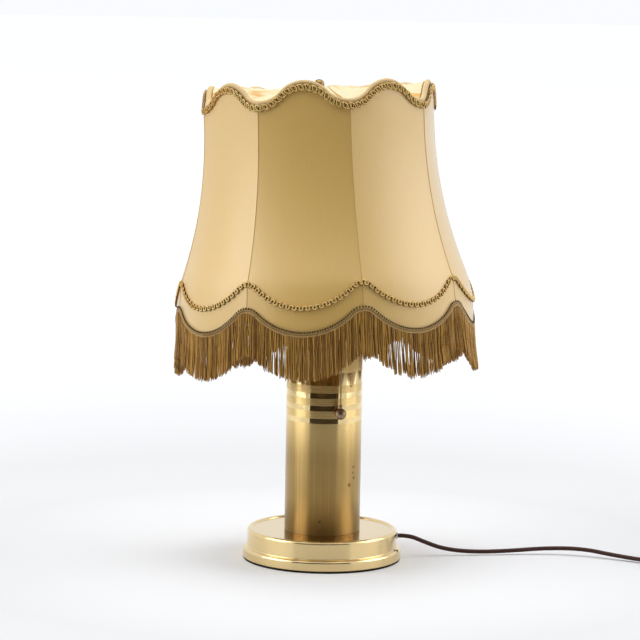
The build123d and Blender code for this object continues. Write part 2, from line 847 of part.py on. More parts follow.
def panel_section(height, standoff, thickness, edge_angle):
    rib = rib_radius(height) + standoff
    mid = mid_radius(height) + standoff
    with BuildSketch(Plane.XY.offset(height)) as section:
        with BuildLine():
            face_arc, back_arc = (
                ThreePointArc(
                    polar(rib + depth, -90 - edge_angle),
                    polar(mid + depth, -90),
                    polar(rib + depth, -90 + edge_angle),
                )
                for depth in (thickness, 0)
            )
            Line(face_arc @ 0, back_arc @ 0)
            Line(face_arc @ 1, back_arc @ 1)
        make_face()
    return section.sketch


# One panel's sheet at a distance outside the ribs' centre line: the flared bell, then the straight skirt
def panel_sheet(standoff, thickness, edge_gap):
    edge_angle = half_panel - degrees(edge_gap / rib_knee_radius)
    sheet_top = crest_height + 2 * binding_radius + top_gimp_width
    sheet_foot = hem_height - scallop_depth - 2 * fringe_header_width
    flared = [knee_height + flare_depth * step / bell_steps for step in range(bell_steps + 1)]
    bell = flared + [(bell_start + sheet_top) / 2, sheet_top]
    for heights in (bell, (sheet_foot, knee_height)):
        loft([panel_section(height, standoff, thickness, edge_angle) for height in heights])


def around_shade(part):
    with BuildPart() as ring:
        with PolarLocations(0, panel_count, start_angle=panel_bearing):
            add(part)
    return ring.part


# Outer cloth, one panel between each two ribs
with BuildPart() as shade_panel:
    panel_sheet(cloth_standoff, cloth_thickness, seam_gap)
    trim_between(
        lambda: top_edge(-binding_radius - soft_clearance),
        lambda: scallop_edge(hem_height, -frame_wire_radius),
    )
for index in range(panel_count):
    turned = shade_panel.part.rotate(Axis.Z, panel_bearing + index * 2 * half_panel)
    save(leaning(turned), f"shade_panel_{index + 1}")

# Lining inside the ribs, from just below the spider's arms
lining_drop = binding_radius + 2 * arm_radius + 3 * soft_clearance
with BuildPart() as lining_panel:
    panel_sheet(-cloth_standoff - lining_thickness, lining_thickness, 0)
    trim_between(lambda: top_edge(-lining_drop), lambda: scallop_edge(hem_height, 2 * frame_wire_radius))
save(leaning(around_shade(lining_panel.part)), "lining")

# Gimp braid along the wavy top and along the scalloped knee
top_gimp_standoff = max(cloth_face, binding_radius) + soft_clearance
with BuildPart() as top_gimp_panel:
    panel_sheet(top_gimp_standoff, gimp_thickness, 0)
    trim_between(
        lambda: top_edge(top_gimp_width / 2 - top_gimp_drop),
        lambda: top_edge(-top_gimp_width / 2 - top_gimp_drop),
    )
save(leaning(around_shade(top_gimp_panel.part)), "top_gimp")

with BuildPart() as lower_gimp_panel:
    panel_sheet(cloth_face + seat_clearance, gimp_thickness, 0)
    trim_between(
        lambda: scallop_edge(knee_height, lower_gimp_width / 2),
        lambda: scallop_edge(knee_height, -lower_gimp_width / 2),
    )
save(leaning(around_shade(lower_gimp_panel.part)), "lower_gimp")

# Fringe: strands in an arc under each panel, hung from a slice of woven header
header_standoff = cloth_face + seat_clearance
header_rib = rib_knee_radius + header_standoff + fringe_header_thickness / 2
header_mid = mid_radius(knee_height) + header_standoff + fringe_header_thickness / 2
header_half = header_rib * sin(radians(half_panel))
header_sag = header_mid - header_rib * cos(radians(half_panel))
strand_arc_radius = (header_half**2 + header_sag**2) / (2 * header_sag)
strand_arc_angle = degrees(asin(header_half / strand_arc_radius))
strand_step = 2 * strand_arc_angle / strands_per_panel
strand_low = hem_height - scallop_depth - fringe_length - 2 * fringe_header_width
with BuildPart() as fringe_header:
    panel_sheet(header_standoff, fringe_header_thickness, seam_gap)
    trim_between(
        lambda: scallop_edge(hem_height, fringe_header_width / 2),
        lambda: scallop_edge(hem_height, -fringe_header_width / 2),
    )
with BuildPart() as fringe:
    with BuildSketch(Plane(origin=(0, strand_arc_radius - header_mid, strand_low))):
        with PolarLocations(
            strand_arc_radius,
            strands_per_panel,
            start_angle=-90 - strand_arc_angle + strand_step / 2,
            angular_range=2 * strand_arc_angle - strand_step,
            endpoint=True,
        ):
            Rectangle(strand_depth, strand_width)
    extrude(amount=hem_height - strand_low + fringe_header_width)
    trim_between(lambda: scallop_edge(hem_height, 0), lambda: scallop_edge(hem_height - fringe_length, 0))
    add(fringe_header.part)
for index in range(panel_count):
    turned = fringe.part.rotate(Axis.Z, panel_bearing + index * 2 * half_panel)
    save(leaning(turned), f"fringe_{index + 1}")


# Gathered cover: each panel's cloth is drawn from the bound rim to the vent ring in radial pleats
cover_inner_height = vent_height + vent_wire_radius + soft_clearance + cover_thickness
cover_inset = top_ring_inset + binding_radius + 2 * soft_clearance
cover_edge_angle = half_panel - degrees(seam_gap / vent_radius)


def cover_rows():
    rows = []
    steps = 2 * cover_pleats
    rib = rib_radius(valley_height)
    mid = mid_radius(crest_height)
    half_width = rib * sin(radians(half_panel))
    sag = mid - rib * cos(radians(half_panel))
    plan_round = (half_width**2 + sag**2) / (2 * sag)
    plan_centre = mid - plan_round
    for step in range(steps + 1):
        bearing = cover_edge_angle * (2 * step / steps - 1)
        share = (1 + cos(pi * bearing / cover_edge_angle)) / 2
        plan_across = plan_centre * sin(radians(bearing))
        plan_radius = plan_centre * cos(radians(bearing)) + sqrt(plan_round**2 - plan_across**2)
        radius = plan_radius - cover_inset
        inner_height = cover_inner_height + pleat_depth * (step % 2)
        outer_height = valley_height + wave_depth * share + cover_thickness
        inner = Vector(*polar(vent_radius, bearing - 90), inner_height)
        outer = Vector(*polar(radius, bearing - 90), outer_height)
        rows.append((inner, outer))
    return rows


def pleated_faces(rows):
    down = Vector(0, 0, -cover_thickness)
    outlines = []
    for (inner, outer), (next_inner, next_outer) in zip(rows, rows[1:]):
        for drop in (Vector(0, 0, 0), down):
            outlines.append([inner + drop, outer + drop, next_outer + drop])
            outlines.append([inner + drop, next_outer + drop, next_inner + drop])
        outlines.append([inner, next_inner, next_inner + down, inner + down])
        outlines.append([outer, next_outer, next_outer + down, outer + down])
    for inner, outer in (rows[0], rows[-1]):
        outlines.append([inner, outer, outer + down, inner + down])
    return [Face(Wire.make_polygon(outline)) for outline in outlines]


with BuildPart() as cover_panel:
    add(Solid(Shell(pleated_faces(cover_rows()))))
save(leaning(around_shade(cover_panel.part)), "top_cover")

# Bush in the base wall: flange outside, neck through the sheet and a barb inside
bush_bore = lead_radius + seat_clearance
bush_barb_foot = base_sheet + bush_barb_length + 2 * seat_clearance
with BuildPart() as lead_bush:
    with BuildSketch(bush_seat):
        Circle(bush_flange_radius)
    extrude(amount=bush_flange_thickness)
    with BuildSketch(bush_seat):
        Circle(bush_neck_radius)
    extrude(amount=-bush_barb_foot)
    with BuildSketch(bush_seat.offset(-bush_barb_foot)):
        Circle(bush_neck_radius + bush_barb)
    extrude(amount=bush_barb_length)
    with BuildSketch(bush_seat):
        Circle(bush_bore)
    extrude(amount=2 * bush_barb_foot, both=True, mode=Mode.SUBTRACT)
save(lead_bush.part, "lead_bush")


def report_tube(name, part, line):
    length = sum(edge.length for edge in line.edges())
    ratio = part.volume / (pi * lead_radius**2 * length)
    print(f"{name}: length {length:.1f} mm, volume against section times length {ratio:.4f}")


# Lead inside the lamp: in through the bush, down the channel and up the tie rod
bush_face = base_wall_radius + bush_flange_thickness
with BuildPart() as inner_lead:
    with BuildLine(upright_plane(bush_direction)) as inner_line:
        FilletPolyline(
            [(bush_face, bush_height)]
            + inner_lead_points
            + [(0, inner_lead_floor), (0, rod_top - lead_radius)],
            radius=inner_lead_rounds,
        )
    with BuildSketch(Plane(origin=inner_line.line @ 0, z_dir=inner_line.line % 0)):
        Circle(lead_radius)
    sweep()
save(inner_lead.part, "inner_lead")
report_tube("inner_lead", inner_lead.part, inner_line.line)


# Coil: the turns spiral in and out by layers and climb a layer in the half turn where the spiral reverses
coil_layer_turn = 2 * pi * coil_turns / coil_layers


def climb(share):
    share = min(max(share, 0), 1)
    return share * share * (3 - 2 * share)


def coil_point(turn):
    layer, along = divmod(turn / coil_layer_turn, 1)
    if layer % 2:
        along = 1 - along
    radius = coil_outer_radius - (coil_outer_radius - coil_inner_radius) * along
    height = lead_radius + coil_lift
    for reversal in range(1, coil_layers):
        height += coil_layer_pitch * climb((turn - reversal * coil_layer_turn) / pi + 0.5)
    x, y = polar(radius, coil_start_heading + degrees(turn))
    return Vector(coil_centre[0] + x, coil_centre[1] + y, height)


def coil_direction(turn):
    step = 0.01
    return (coil_point(turn + step) - coil_point(turn - step)).normalized()


lead_diameter = 2 * lead_radius
coil_quarters = round(4 * coil_turns)
coil_turn = coil_quarters * pi / 2
coil_in = Vector(*polar(1, coil_start_heading + 90), 0)
coil_out = Vector(*polar(1, coil_start_heading + 90 + degrees(coil_turn)), 0)
coil_first = coil_point(0)
coil_last = coil_point(coil_turn - 1e-9)
coil_entry = coil_first - coil_in * lead_diameter
coil_exit = coil_last + coil_out * lead_diameter
coil_stops = [(coil_first, coil_in)]
for quarter in range(1, coil_quarters):
    coil_stops.append((coil_point(quarter * pi / 2), coil_direction(quarter * pi / 2)))
coil_stops.append((coil_last, coil_out))
with BuildPart() as cord_coil:
    with BuildLine() as coil_line:
        Line(coil_entry, coil_first)
        for stop, next_stop in zip(coil_stops, coil_stops[1:]):
            biarc(*stop, *next_stop)
        Line(coil_last, coil_exit)
    with BuildSketch(Plane(origin=coil_entry, z_dir=coil_in)):
        Circle(lead_radius)
    sweep()
save(cord_coil.part, "cord_coil")
report_tube("cord_coil", cord_coil.part, coil_line.line)

sample_count = 600
gap_samples = [coil_point(coil_turn * index / sample_count) for index in range(sample_count)]
samples_in_half_turn = ceil(sample_count / coil_turns / 2)
least_gap = min(
    (gap_samples[later] - gap_samples[earlier]).length
    for earlier in range(sample_count)
    for later in range(earlier + samples_in_half_turn, sample_count)
)
print(f"cord_coil: least gap to itself {least_gap - lead_diameter:.2f} mm")


# Free stretches of the lead: straight runs joined by arcs as large as the runs allow
def route_rounds(points):
    rounds = []
    for before, corner, after in zip(points, points[1:], points[2:]):
        arriving = corner - before
        departing = after - corner
        half_turn = radians(arriving.get_angle(departing)) / 2
        rounds.append(0.45 * min(arriving.length, departing.length) / tan(half_turn))
    return rounds


def lead_tube(name, points):
    rounds = route_rounds(points)
    print(f"{name}: bend radii", [round(size) for size in rounds])
    with BuildPart() as tube:
        with BuildLine() as line:
            FilletPolyline(points, radius=rounds)
        with BuildSketch(Plane(origin=line.line @ 0, z_dir=line.line % 0)):
            Circle(lead_radius)
        sweep()
    report_tube(name, tube.part, line.line)
    return tube.part


lead_start = bush_direction * bush_face + Vector(0, 0, bush_height)
cord_lead = lead_tube("cord_lead", [lead_start] + [Vector(*point) for point in lead_route] + [coil_entry])
save(cord_lead, "cord_lead")

plug_axis_height = plug_thickness / 2
plug_end = Vector(*plug_entry, plug_axis_height)
cord_tail = lead_tube("cord_tail", [coil_exit] + [Vector(*point) for point in tail_route] + [plug_end])
save(cord_tail, "cord_tail")

# Tie round the coil's bundle of turns
tie_direction = Vector(*polar(1, tie_heading), 0)
bundle_width = coil_outer_radius - coil_inner_radius + lead_diameter + 2 * tie_slack
bundle_height = (coil_layers - 1) * coil_layer_pitch + lead_diameter + tie_slack + seat_clearance
bundle_foot = coil_lift - seat_clearance
bundle_radius = (coil_outer_radius + coil_inner_radius) / 2
bundle_centre = (
    Vector(*coil_centre, 0) + tie_direction * bundle_radius + Vector(0, 0, bundle_foot + bundle_height / 2)
)
with BuildPart() as coil_tie:
    with BuildSketch(
        Plane(origin=bundle_centre, x_dir=tie_direction, z_dir=tie_direction.cross(Vector(0, 0, 1)))
    ):
        Rectangle(bundle_width + 2 * tie_thickness, bundle_height + 2 * tie_thickness)
        Rectangle(bundle_width, bundle_height, mode=Mode.SUBTRACT)
    extrude(amount=tie_width / 2, both=True)
save(coil_tie.part, "coil_tie")

# Flat two-pin plug lying on the floor
plug_direction = (plug_end - Vector(*tail_route[-1][:2], plug_axis_height)).normalized()
plug_floor = Plane(origin=Vector(*plug_entry, 0), x_dir=plug_direction, z_dir=(0, 0, 1))
pin_plane = Plane(
    origin=plug_end + plug_direction * (plug_length - pin_root), x_dir=(0, 0, 1), z_dir=plug_direction
)
with BuildPart() as plug_body:
    with BuildSketch(plug_floor):
        with BuildLine():
            Polyline(
                (0, -plug_tail_width / 2),
                (plug_shoulder, -plug_width / 2),
                (plug_length, -plug_width / 2),
                (plug_length, plug_width / 2),
                (plug_shoulder, plug_width / 2),
                (0, plug_tail_width / 2),
                close=True,
            )
        make_face()
    extrude(amount=plug_thickness)
    fillet(plug_body.edges().filter_by(Axis.Z), plug_edge_round)
    plug_levels = plug_body.edges().group_by(Axis.Z)
    fillet(plug_levels[-1] + plug_levels[0], plug_edge_round / 2)
    with BuildSketch(pin_plane):
        with Locations((0, pin_spacing / 2), (0, -pin_spacing / 2)):
            Circle(pin_radius + running_clearance)
    extrude(amount=plug_length, mode=Mode.SUBTRACT)
save(plug_body.part, "plug_body")

with BuildPart() as plug_pins:
    with BuildSketch(pin_plane):
        with Locations((0, pin_spacing / 2), (0, -pin_spacing / 2)):
            Circle(pin_radius)
    extrude(amount=pin_root + pin_length)
    fillet(plug_pins.faces().sort_by(Axis(plug_end, plug_direction))[-2:].edges(), pin_radius / 2)
save(plug_pins.part, "plug_pins")
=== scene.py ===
import bpy
import bisect
import random
from math import acos, asin, copysign, cos, degrees, pi, radians, sin, sqrt, tau
from mathutils import Matrix, Vector


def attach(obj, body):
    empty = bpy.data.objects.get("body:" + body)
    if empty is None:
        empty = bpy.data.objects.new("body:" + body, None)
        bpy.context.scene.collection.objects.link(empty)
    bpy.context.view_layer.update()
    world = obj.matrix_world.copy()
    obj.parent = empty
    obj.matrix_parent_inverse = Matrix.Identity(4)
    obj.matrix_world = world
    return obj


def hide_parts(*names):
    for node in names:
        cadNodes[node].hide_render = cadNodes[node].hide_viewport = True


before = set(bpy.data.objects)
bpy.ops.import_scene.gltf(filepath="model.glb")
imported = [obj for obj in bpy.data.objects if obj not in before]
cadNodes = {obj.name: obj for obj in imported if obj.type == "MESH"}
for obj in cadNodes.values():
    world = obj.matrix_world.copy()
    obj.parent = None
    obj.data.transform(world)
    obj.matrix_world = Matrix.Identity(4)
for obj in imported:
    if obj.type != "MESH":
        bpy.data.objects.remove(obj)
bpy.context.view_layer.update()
scene = bpy.context.scene
print("frame loaded:", len(cadNodes), "nodes")

# camera at the photograph's angle
view = {"target": (-0.0058, 0.0, 0.2494), "distance": 3.402, "pitch": 7.855, "roll": 1.0, "lens": 185.6,
        "sensor": 36.0}


def addCamera():
    pitch = radians(view["pitch"])
    back = Vector((0, -cos(pitch), sin(pitch))) * view["distance"]
    camera = bpy.data.objects.new("photoCamera", bpy.data.cameras.new("photoCamera"))
    camera.data.lens = view["lens"]
    camera.data.sensor_width = view["sensor"]
    camera.matrix_world = (
        Matrix.Translation(Vector(view["target"]) + back)
        @ Matrix.Rotation(pi / 2 - pitch, 4, "X")
        @ Matrix.Rotation(radians(view["roll"]), 4, "Z")
    )
    scene.collection.objects.link(camera)
    scene.camera = camera


addCamera()
print("camera placed")

finish = {}  # every material of the lamp by its name, filled in below


# small helpers that the pieces share
def addObject(name, data, finishNames, body, slotName, *replaced):
    for finishName in finishNames:
        data.materials.append(finish[finishName])
    piece = bpy.data.objects.new(name, data)
    scene.collection.objects.link(piece)
    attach(piece, body)
    if replaced:
        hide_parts(*replaced)
    return piece


def meshFrom(name, points, faces, uvs=None, sharpAngle=None, wrap=False):
    mesh = bpy.data.meshes.new(name)
    mesh.from_pydata([tuple(p) for p in points], [], faces)
    mesh.polygons.foreach_set("use_smooth", [True] * len(mesh.polygons))
    if uvs:
        layer = mesh.uv_layers.new(name="metres")
        flat = []
        for face in faces:
            corners = [uvs[i] for i in face]
            across = [v for _, v in corners]
            if wrap and max(across) - min(across) > 0.5:  # last strip round a tube closes on the first
                corners = [(u, v + 1 if v < 0.5 else v) for u, v in corners]
            for corner in corners:
                flat += corner
        layer.data.foreach_set("uv", flat)
    if sharpAngle:
        mesh.set_sharp_from_angle(angle=radians(sharpAngle))
    mesh.update()
    return mesh


# faces of a grid whose points are listed column by column
def gridFaces(columns, rows, closed=False):
    faces = []
    for i in range(columns if closed else columns - 1):
        here, there = i * rows, (i + 1) % columns * rows
        faces += [(here + j, there + j, there + j + 1, here + j + 1) for j in range(rows - 1)]
    return faces


# turns a list of (radius, height) into a closed lathe shape
def latheMesh(name, profile, segments, sharpAngle=35):
    points = []
    for step in range(segments):
        turn = tau * step / segments
        points += [(r * cos(turn), r * sin(turn), z) for r, z in profile]
    return meshFrom(name, points, gridFaces(segments, len(profile), True), sharpAngle=sharpAngle)


def arcProfile(centre, radius, start, end, steps):
    turns = [radians(start + (end - start) * i / steps) for i in range(steps + 1)]
    return [(centre[0] + radius * cos(t), centre[1] + radius * sin(t)) for t in turns]


class TubeSet:
    # gathers many swept tubes into one mesh; u runs along a tube in metres and v round it
    def __init__(self):
        self.points, self.faces, self.uvs = [], [], []

    def add(self, path, radii, sides=6, closed=False, flat=1.0, spin=0.0, along=0.0):
        first = len(self.points)
        count = len(path)
        tangents = []
        for i in range(count):
            before = path[i - 1] if i or closed else path[0]
            after = path[(i + 1) % count] if i < count - 1 or closed else path[-1]
            tangents.append((after - before).normalized())
        side = tangents[0].orthogonal().normalized()
        length = along
        for i, place in enumerate(path):
            tangent = tangents[i]
            side = (side - tangent * side.dot(tangent)).normalized()
            other = tangent.cross(side)
            if i:
                length += (place - path[i - 1]).length
            radius = radii[i] if hasattr(radii, "__len__") else radii
            twist = spin * (length - along)
            for j in range(sides):
                turn = tau * j / sides
                x, y = cos(turn) * radius, sin(turn) * radius * flat
                a = x * cos(twist) - y * sin(twist)
                b = x * sin(twist) + y * cos(twist)
                self.points.append(place + side * a + other * b)
                self.uvs.append((length, j / sides))
        for i in range(count if closed else count - 1):
            here, there = first + i * sides, first + (i + 1) % count * sides
            for j in range(sides):
                k = (j + 1) % sides
                self.faces.append((here + j, here + k, there + k, there + j))
        if not closed:
            self.faces.append(tuple(first + j for j in reversed(range(sides))))
            last = first + (count - 1) * sides
            self.faces.append(tuple(last + j for j in range(sides)))

    def mesh(self, name):
        return meshFrom(name, self.points, self.faces, self.uvs, wrap=True)


def addTubes(name, tubes, finishNames, slotName, *replaced):
    return addObject(name, tubes.mesh(name), finishNames, "shade", slotName, *replaced)


# shader helpers
def feed(tree, socket, value):
    if isinstance(value, bpy.types.NodeSocket):
        tree.links.new(value, socket)
    else:
        socket.default_value = value


def feedNode(tree, node, **inputs):
    for key, value in inputs.items():
        feed(tree, node.inputs[key.replace("_", " ")], value)
    return node


def setShader(material, **inputs):
    return feedNode(material.node_tree, material.node_tree.nodes["Principled BSDF"], **inputs)


def newMaterial(name, **inputs):
    material = bpy.data.materials.new(name)
    material.use_nodes = True
    setShader(material, **inputs)
    return material, material.node_tree


def addNode(tree, kind, settings=None, **inputs):
    node = tree.nodes.new(kind)
    for key, value in (settings or {}).items():
        setattr(node, key, value)
    return feedNode(tree, node, **inputs)


def mathNode(tree, operation, *values):
    node = addNode(tree, "ShaderNodeMath", {"operation": operation})
    for socket, value in zip(node.inputs, values):
        feed(tree, socket, value)
    return node.outputs[0]


def times(tree, first, second):
    return mathNode(tree, "MULTIPLY", first, second)


def plus(tree, first, second):
    return mathNode(tree, "ADD", first, second)


def colour(red, green, blue):
    # written as it looks on screen, handed over as the linear value
    def linear(c):
        c /= 255
        return c / 12.92 if c <= 0.04045 else ((c + 0.055) / 1.055) ** 2.4
    return (linear(red), linear(green), linear(blue), 1.0)


def mixColour(tree, factor, first, second, blend="MIX"):
    node = addNode(tree, "ShaderNodeMix", {"data_type": "RGBA", "blend_type": blend})
    for index, value in ((0, factor), (6, first), (7, second)):  # sockets that a colour mix uses
        feed(tree, node.inputs[index], colour(*value) if isinstance(value, tuple) else value)
    return node.outputs[2]


def ramp(tree, value, limits, ends=(0.0, 1.0), kind="LINEAR"):
    return addNode(tree, "ShaderNodeMapRange", {"interpolation_type": kind}, Value=value, From_Min=limits[0],
                   From_Max=limits[1], To_Min=ends[0], To_Max=ends[1]).outputs[0]


def objectSpot(tree):
    return addNode(tree, "ShaderNodeTexCoord").outputs["Object"]


def metreSpot(tree):
    return addNode(tree, "ShaderNodeUVMap", {"uv_map": "metres"}).outputs[0]


def noiseAt(tree, spot, scale, detail=2.0):
    return addNode(tree, "ShaderNodeTexNoise", Vector=spot, Scale=scale, Detail=detail).outputs[0]


def stretchedNoise(tree, spot, stretch, detail):
    stretched = addNode(tree, "ShaderNodeMapping", Vector=spot, Scale=stretch)
    return noiseAt(tree, stretched.outputs[0], 1.0, detail)


def newGroup(name, inputs, outputs):
    tree = bpy.data.node_groups.new(name, "ShaderNodeTree")
    for label, value in inputs.items():
        tree.interface.new_socket(label, in_out="INPUT", socket_type="NodeSocketFloat").default_value = value
    for label in outputs:
        tree.interface.new_socket(label, in_out="OUTPUT", socket_type="NodeSocketFloat")
    return tree, tree.nodes.new("NodeGroupInput").outputs, tree.nodes.new("NodeGroupOutput")


def placeGroup(tree, group, **inputs):
    return addNode(tree, "ShaderNodeGroup", {"node_tree": group}, **inputs)


def bumped(tree, height, strength, distance):
    return addNode(tree, "ShaderNodeBump", Strength=strength, Distance=distance, Height=height).outputs[0]


# shade's own frame: eight panels between ribs, then leaned as it stands on the harp
shade = {
    "panels": 8, "bearing": 14.6, "lean": 5.9, "leanHeading": 25.0, "pivot": (0, 0, 0.2418),
    "topRadius": 0.1192, "kneeRadius": 0.1476, "crest": 0.4910, "valley": 0.4714, "bellStart": 0.4504,
    "knee": 0.2924, "hem": 0.2658, "scallop": 0.0246, "valleyRound": 0.032, "peakRound": 0.014,
    "topBow": 0.0034, "skirtBow": 0.0092, "skirtFlare": 0.0028, "flareEnd": 1.4, "belly": 0.09,
    "kneeTurn": 0.176, "kneeSoft": 0.013,
}
panels, crest, knee, hem = shade["panels"], shade["crest"], shade["knee"], shade["hem"]
halfPanel = pi / panels
leanHeading = radians(shade["leanHeading"])
leanAxis = Vector((-cos(leanHeading), -sin(leanHeading), 0))
leanTurn = (
    Matrix.Translation(shade["pivot"])
    @ Matrix.Rotation(radians(shade["lean"]), 4, leanAxis)
    @ Matrix.Translation(-Vector(shade["pivot"]))
)
shadeDown = leanTurn.to_3x3() @ Vector((0, 0, -1))


def ribRadius(height):
    depth = shade["bellStart"] - knee
    flare = shade["kneeRadius"] - shade["topRadius"]
    flareRound = (depth**2 + flare**2) / (2 * flare)
    fall = min(max(shade["bellStart"] - height, 0), depth)
    skirt = min(max((knee - height) / (knee - hem), 0), shade["flareEnd"])
    return shade["topRadius"] + flareRound - sqrt(flareRound**2 - fall**2) + shade["skirtFlare"] * skirt


def panelBow(height):
    share = min(max((crest - height) / (crest - knee), 0), 1)
    return shade["topBow"] + (shade["skirtBow"] - shade["topBow"]) * share**2


# each panel swells a little down to the knee braid and draws in again below it
def panelBelly(across, half, height):
    line = scallopLine(across, half, knee)
    if height >= line:
        soft = shade["kneeSoft"]
        near = max(soft - abs(knee - height), 0)
        eased = shade["kneeTurn"] * near**2 / (4 * soft) * min((knee - line) / soft, 1)
        return shade["belly"] * max(knee - height, 0) - eased
    left = 1 - (line - height) / (knee - hem)
    return shade["belly"] * (knee - line) * max(left, 0)


def halfWidth(height, standoff):
    return (ribRadius(height) + standoff) * sin(halfPanel)


# place on a panel by its distance across from the middle and its height, before the lean
def uprightPoint(panel, across, height, standoff):
    rib = ribRadius(height) + standoff
    mid = ribRadius(height) * cos(halfPanel) + panelBow(height) + standoff
    half = rib * sin(halfPanel)
    sag = mid - rib * cos(halfPanel)
    planRound = (half**2 + sag**2) / (2 * sag)
    out = mid - planRound + sqrt(planRound**2 - across**2) + panelBelly(across, half, height)
    turn = radians(shade["bearing"]) + (2 * panel - 1) * halfPanel
    return Matrix.Rotation(turn, 3, "Z") @ Vector((across, -out, height))


def clothPoint(panel, across, height, standoff):
    return leanTurn @ uprightPoint(panel, across, height, standoff)


# height along a trim line, two arcs that meet at the steepest place
def waveHeight(across, mid, rib, half, ribRound):
    rise = rib - mid
    way = copysign(1, rise)
    bothRounds = (half**2 + rise**2) / (2 * abs(rise))
    midRound = bothRounds - ribRound
    meet = midRound * half / bothRounds
    reach = abs(across)
    if reach <= meet:
        return mid + way * (midRound - sqrt(midRound**2 - reach**2))
    return rib - way * (ribRound - sqrt(max(ribRound**2 - (half - reach) ** 2, 0)))


def topLine(across, half):
    return waveHeight(across, crest, shade["valley"], half, shade["valleyRound"])


def scallopLine(across, half, ribHeight):
    return waveHeight(across, ribHeight - shade["scallop"], ribHeight, half, shade["peakRound"])


class TrimRing:
    # frames along a trim line right round the shade, addressed by the distance along it
    steps = 90  # places on each panel
    nudge = 0.0005  # how far off the slope of the cloth is taken
    blend = 4  # neighbours on each side that an outward direction is averaged over

    def __init__(self, heightOf, lineHeight, standoff):
        half = halfWidth(lineHeight, standoff)
        self.places, outs = [], []
        for panel in range(panels):
            for step in range(self.steps):
                across = half * (2 * step / self.steps - 1)
                height = heightOf(across, half)
                place = clothPoint(panel, across, height, standoff)
                aside = clothPoint(panel, across + self.nudge, height, standoff) - place
                above = clothPoint(panel, across, height + self.nudge, standoff) - place
                self.places.append(place)
                outs.append(aside.cross(above).normalized())
        self.count = len(self.places)
        self.outs, self.marks = [], [0.0]
        for i in range(self.count):
            near = range(i - self.blend, i + self.blend + 1)
            self.outs.append(sum((outs[j % self.count] for j in near), Vector()).normalized())
            self.marks.append(self.marks[-1] + (self.places[(i + 1) % self.count] - self.places[i]).length)
        self.length = self.marks[-1]

    def frameAt(self, along):
        along %= self.length
        here = bisect.bisect_right(self.marks, along, 0, self.count) - 1
        there = (here + 1) % self.count
        share = (along - self.marks[here]) / (self.marks[here + 1] - self.marks[here])
        place = self.places[here].lerp(self.places[there], share)
        out = self.outs[here].lerp(self.outs[there], share).normalized()
        ahead = self.places[(here + 2) % self.count] - self.places[(here - 1) % self.count]
        return place, out, out.cross(ahead).normalized()

    def at(self, along, up, out):
        place, outward, upward = self.frameAt(along)
        return place + upward * up + outward * out

    def loop(self, steps, up=0, out=0):
        return [self.at(self.length * i / steps, up, out) for i in range(steps)]

    def divide(self, pitch):
        count = round(self.length / pitch)
        return count, self.length / count


print("shade outline ready")


# shared surface effects
def makeWeave():
    # crossing threads from the metre UVs
    tree, given, put = newGroup("threadWeave", {"Threads": 2200.0, "Unevenness": 0.4}, ("Height", "Slub"))
    spot = metreSpot(tree)
    axes = addNode(tree, "ShaderNodeSeparateXYZ", Vector=spot).outputs
    waves = []
    for axis in ("X", "Y"):
        turned = times(tree, axes[axis], given["Threads"])
        waves.append(mathNode(tree, "SINE", times(tree, turned, tau)))
    noise = stretchedNoise(tree, spot, stretch=(900.0, 60.0, 1.0), detail=3.0)
    slub = times(tree, noise, given["Unevenness"])
    feedNode(tree, put, Height=plus(tree, times(tree, *waves), slub), Slub=noise)
    return tree


def makeTwist():
    # plies of a twisted yarn from a tube's UVs, with painted shade in the line between plies and one random value for
    # each yarn
    tree, given, put = newGroup("yarnTwist", {"Lay": 0.004, "Plies": 2.0}, ("Height", "Hollow", "Pick"))
    axes = addNode(tree, "ShaderNodeSeparateXYZ", Vector=metreSpot(tree)).outputs
    around = times(tree, axes["Y"], given["Plies"])
    along = mathNode(tree, "DIVIDE", axes["X"], given["Lay"])
    turn = times(tree, plus(tree, around, along), pi)
    height = mathNode(tree, "ABSOLUTE", mathNode(tree, "SINE", turn))
    narrowing = 3.0  # keeps the painted shade to the line between two plies
    plyShade = mathNode(tree, "POWER", mathNode(tree, "SUBTRACT", 1.0, height), narrowing)
    pick = addNode(tree, "ShaderNodeTexWhiteNoise", {"noise_dimensions": "1D"}, W=mathNode(tree, "FLOOR", axes["X"]))
    feedNode(tree, put, Height=height, Hollow=plyShade, Pick=pick.outputs["Value"])
    return tree


def makeTarnish():
    # cloudy tarnish and small specks from the place on the object
    tree, given, put = newGroup("brassTarnish", {"Cloud": 25.0, "Specks": 160.0, "Amount": 0.3}, ("Mask", "Speck"))
    spot = objectSpot(tree)
    cloud = noiseAt(tree, spot, given["Cloud"], detail=5.0)
    cells = noiseAt(tree, spot, given["Specks"], detail=1.0)
    feedNode(tree, put, Mask=times(tree, cloud, given["Amount"]), Speck=ramp(tree, cells, limits=(0.70, 0.80)))
    return tree


threadWeave, yarnTwist, brassTarnish = makeWeave(), makeTwist(), makeTarnish()


def clothMaterial(name, light, dark, threads, bump, rough, sheen, gloss=0.3):
    material, tree = newMaterial(name, Roughness=rough, Sheen_Weight=sheen, Sheen_Roughness=0.4,
                                 Specular_IOR_Level=gloss)
    weave = placeGroup(tree, threadWeave, Threads=threads, Unevenness=0.5).outputs
    setShader(material, Base_Color=mixColour(tree, weave["Slub"], dark, light),
              Normal=bumped(tree, weave["Height"], strength=bump, distance=0.0002))
    return material


def yarnMaterial(name, light, dark, lay, plies, rough, sheen=0.3, twisted=0.75):
    material, tree = newMaterial(name, Roughness=rough, Sheen_Weight=sheen, Sheen_Roughness=0.35,
                                 Specular_IOR_Level=0.3)
    twist = placeGroup(tree, yarnTwist, Lay=lay, Plies=plies).outputs
    picked = mixColour(tree, twist["Pick"], dark, light)
    # the line between two plies is darkened, painted shade in the twist
    setShader(material, Base_Color=mixColour(tree, times(tree, twist["Hollow"], twisted), picked, dark, "MULTIPLY"),
              Normal=bumped(tree, twist["Height"], strength=twisted, distance=0.0004))
    return material


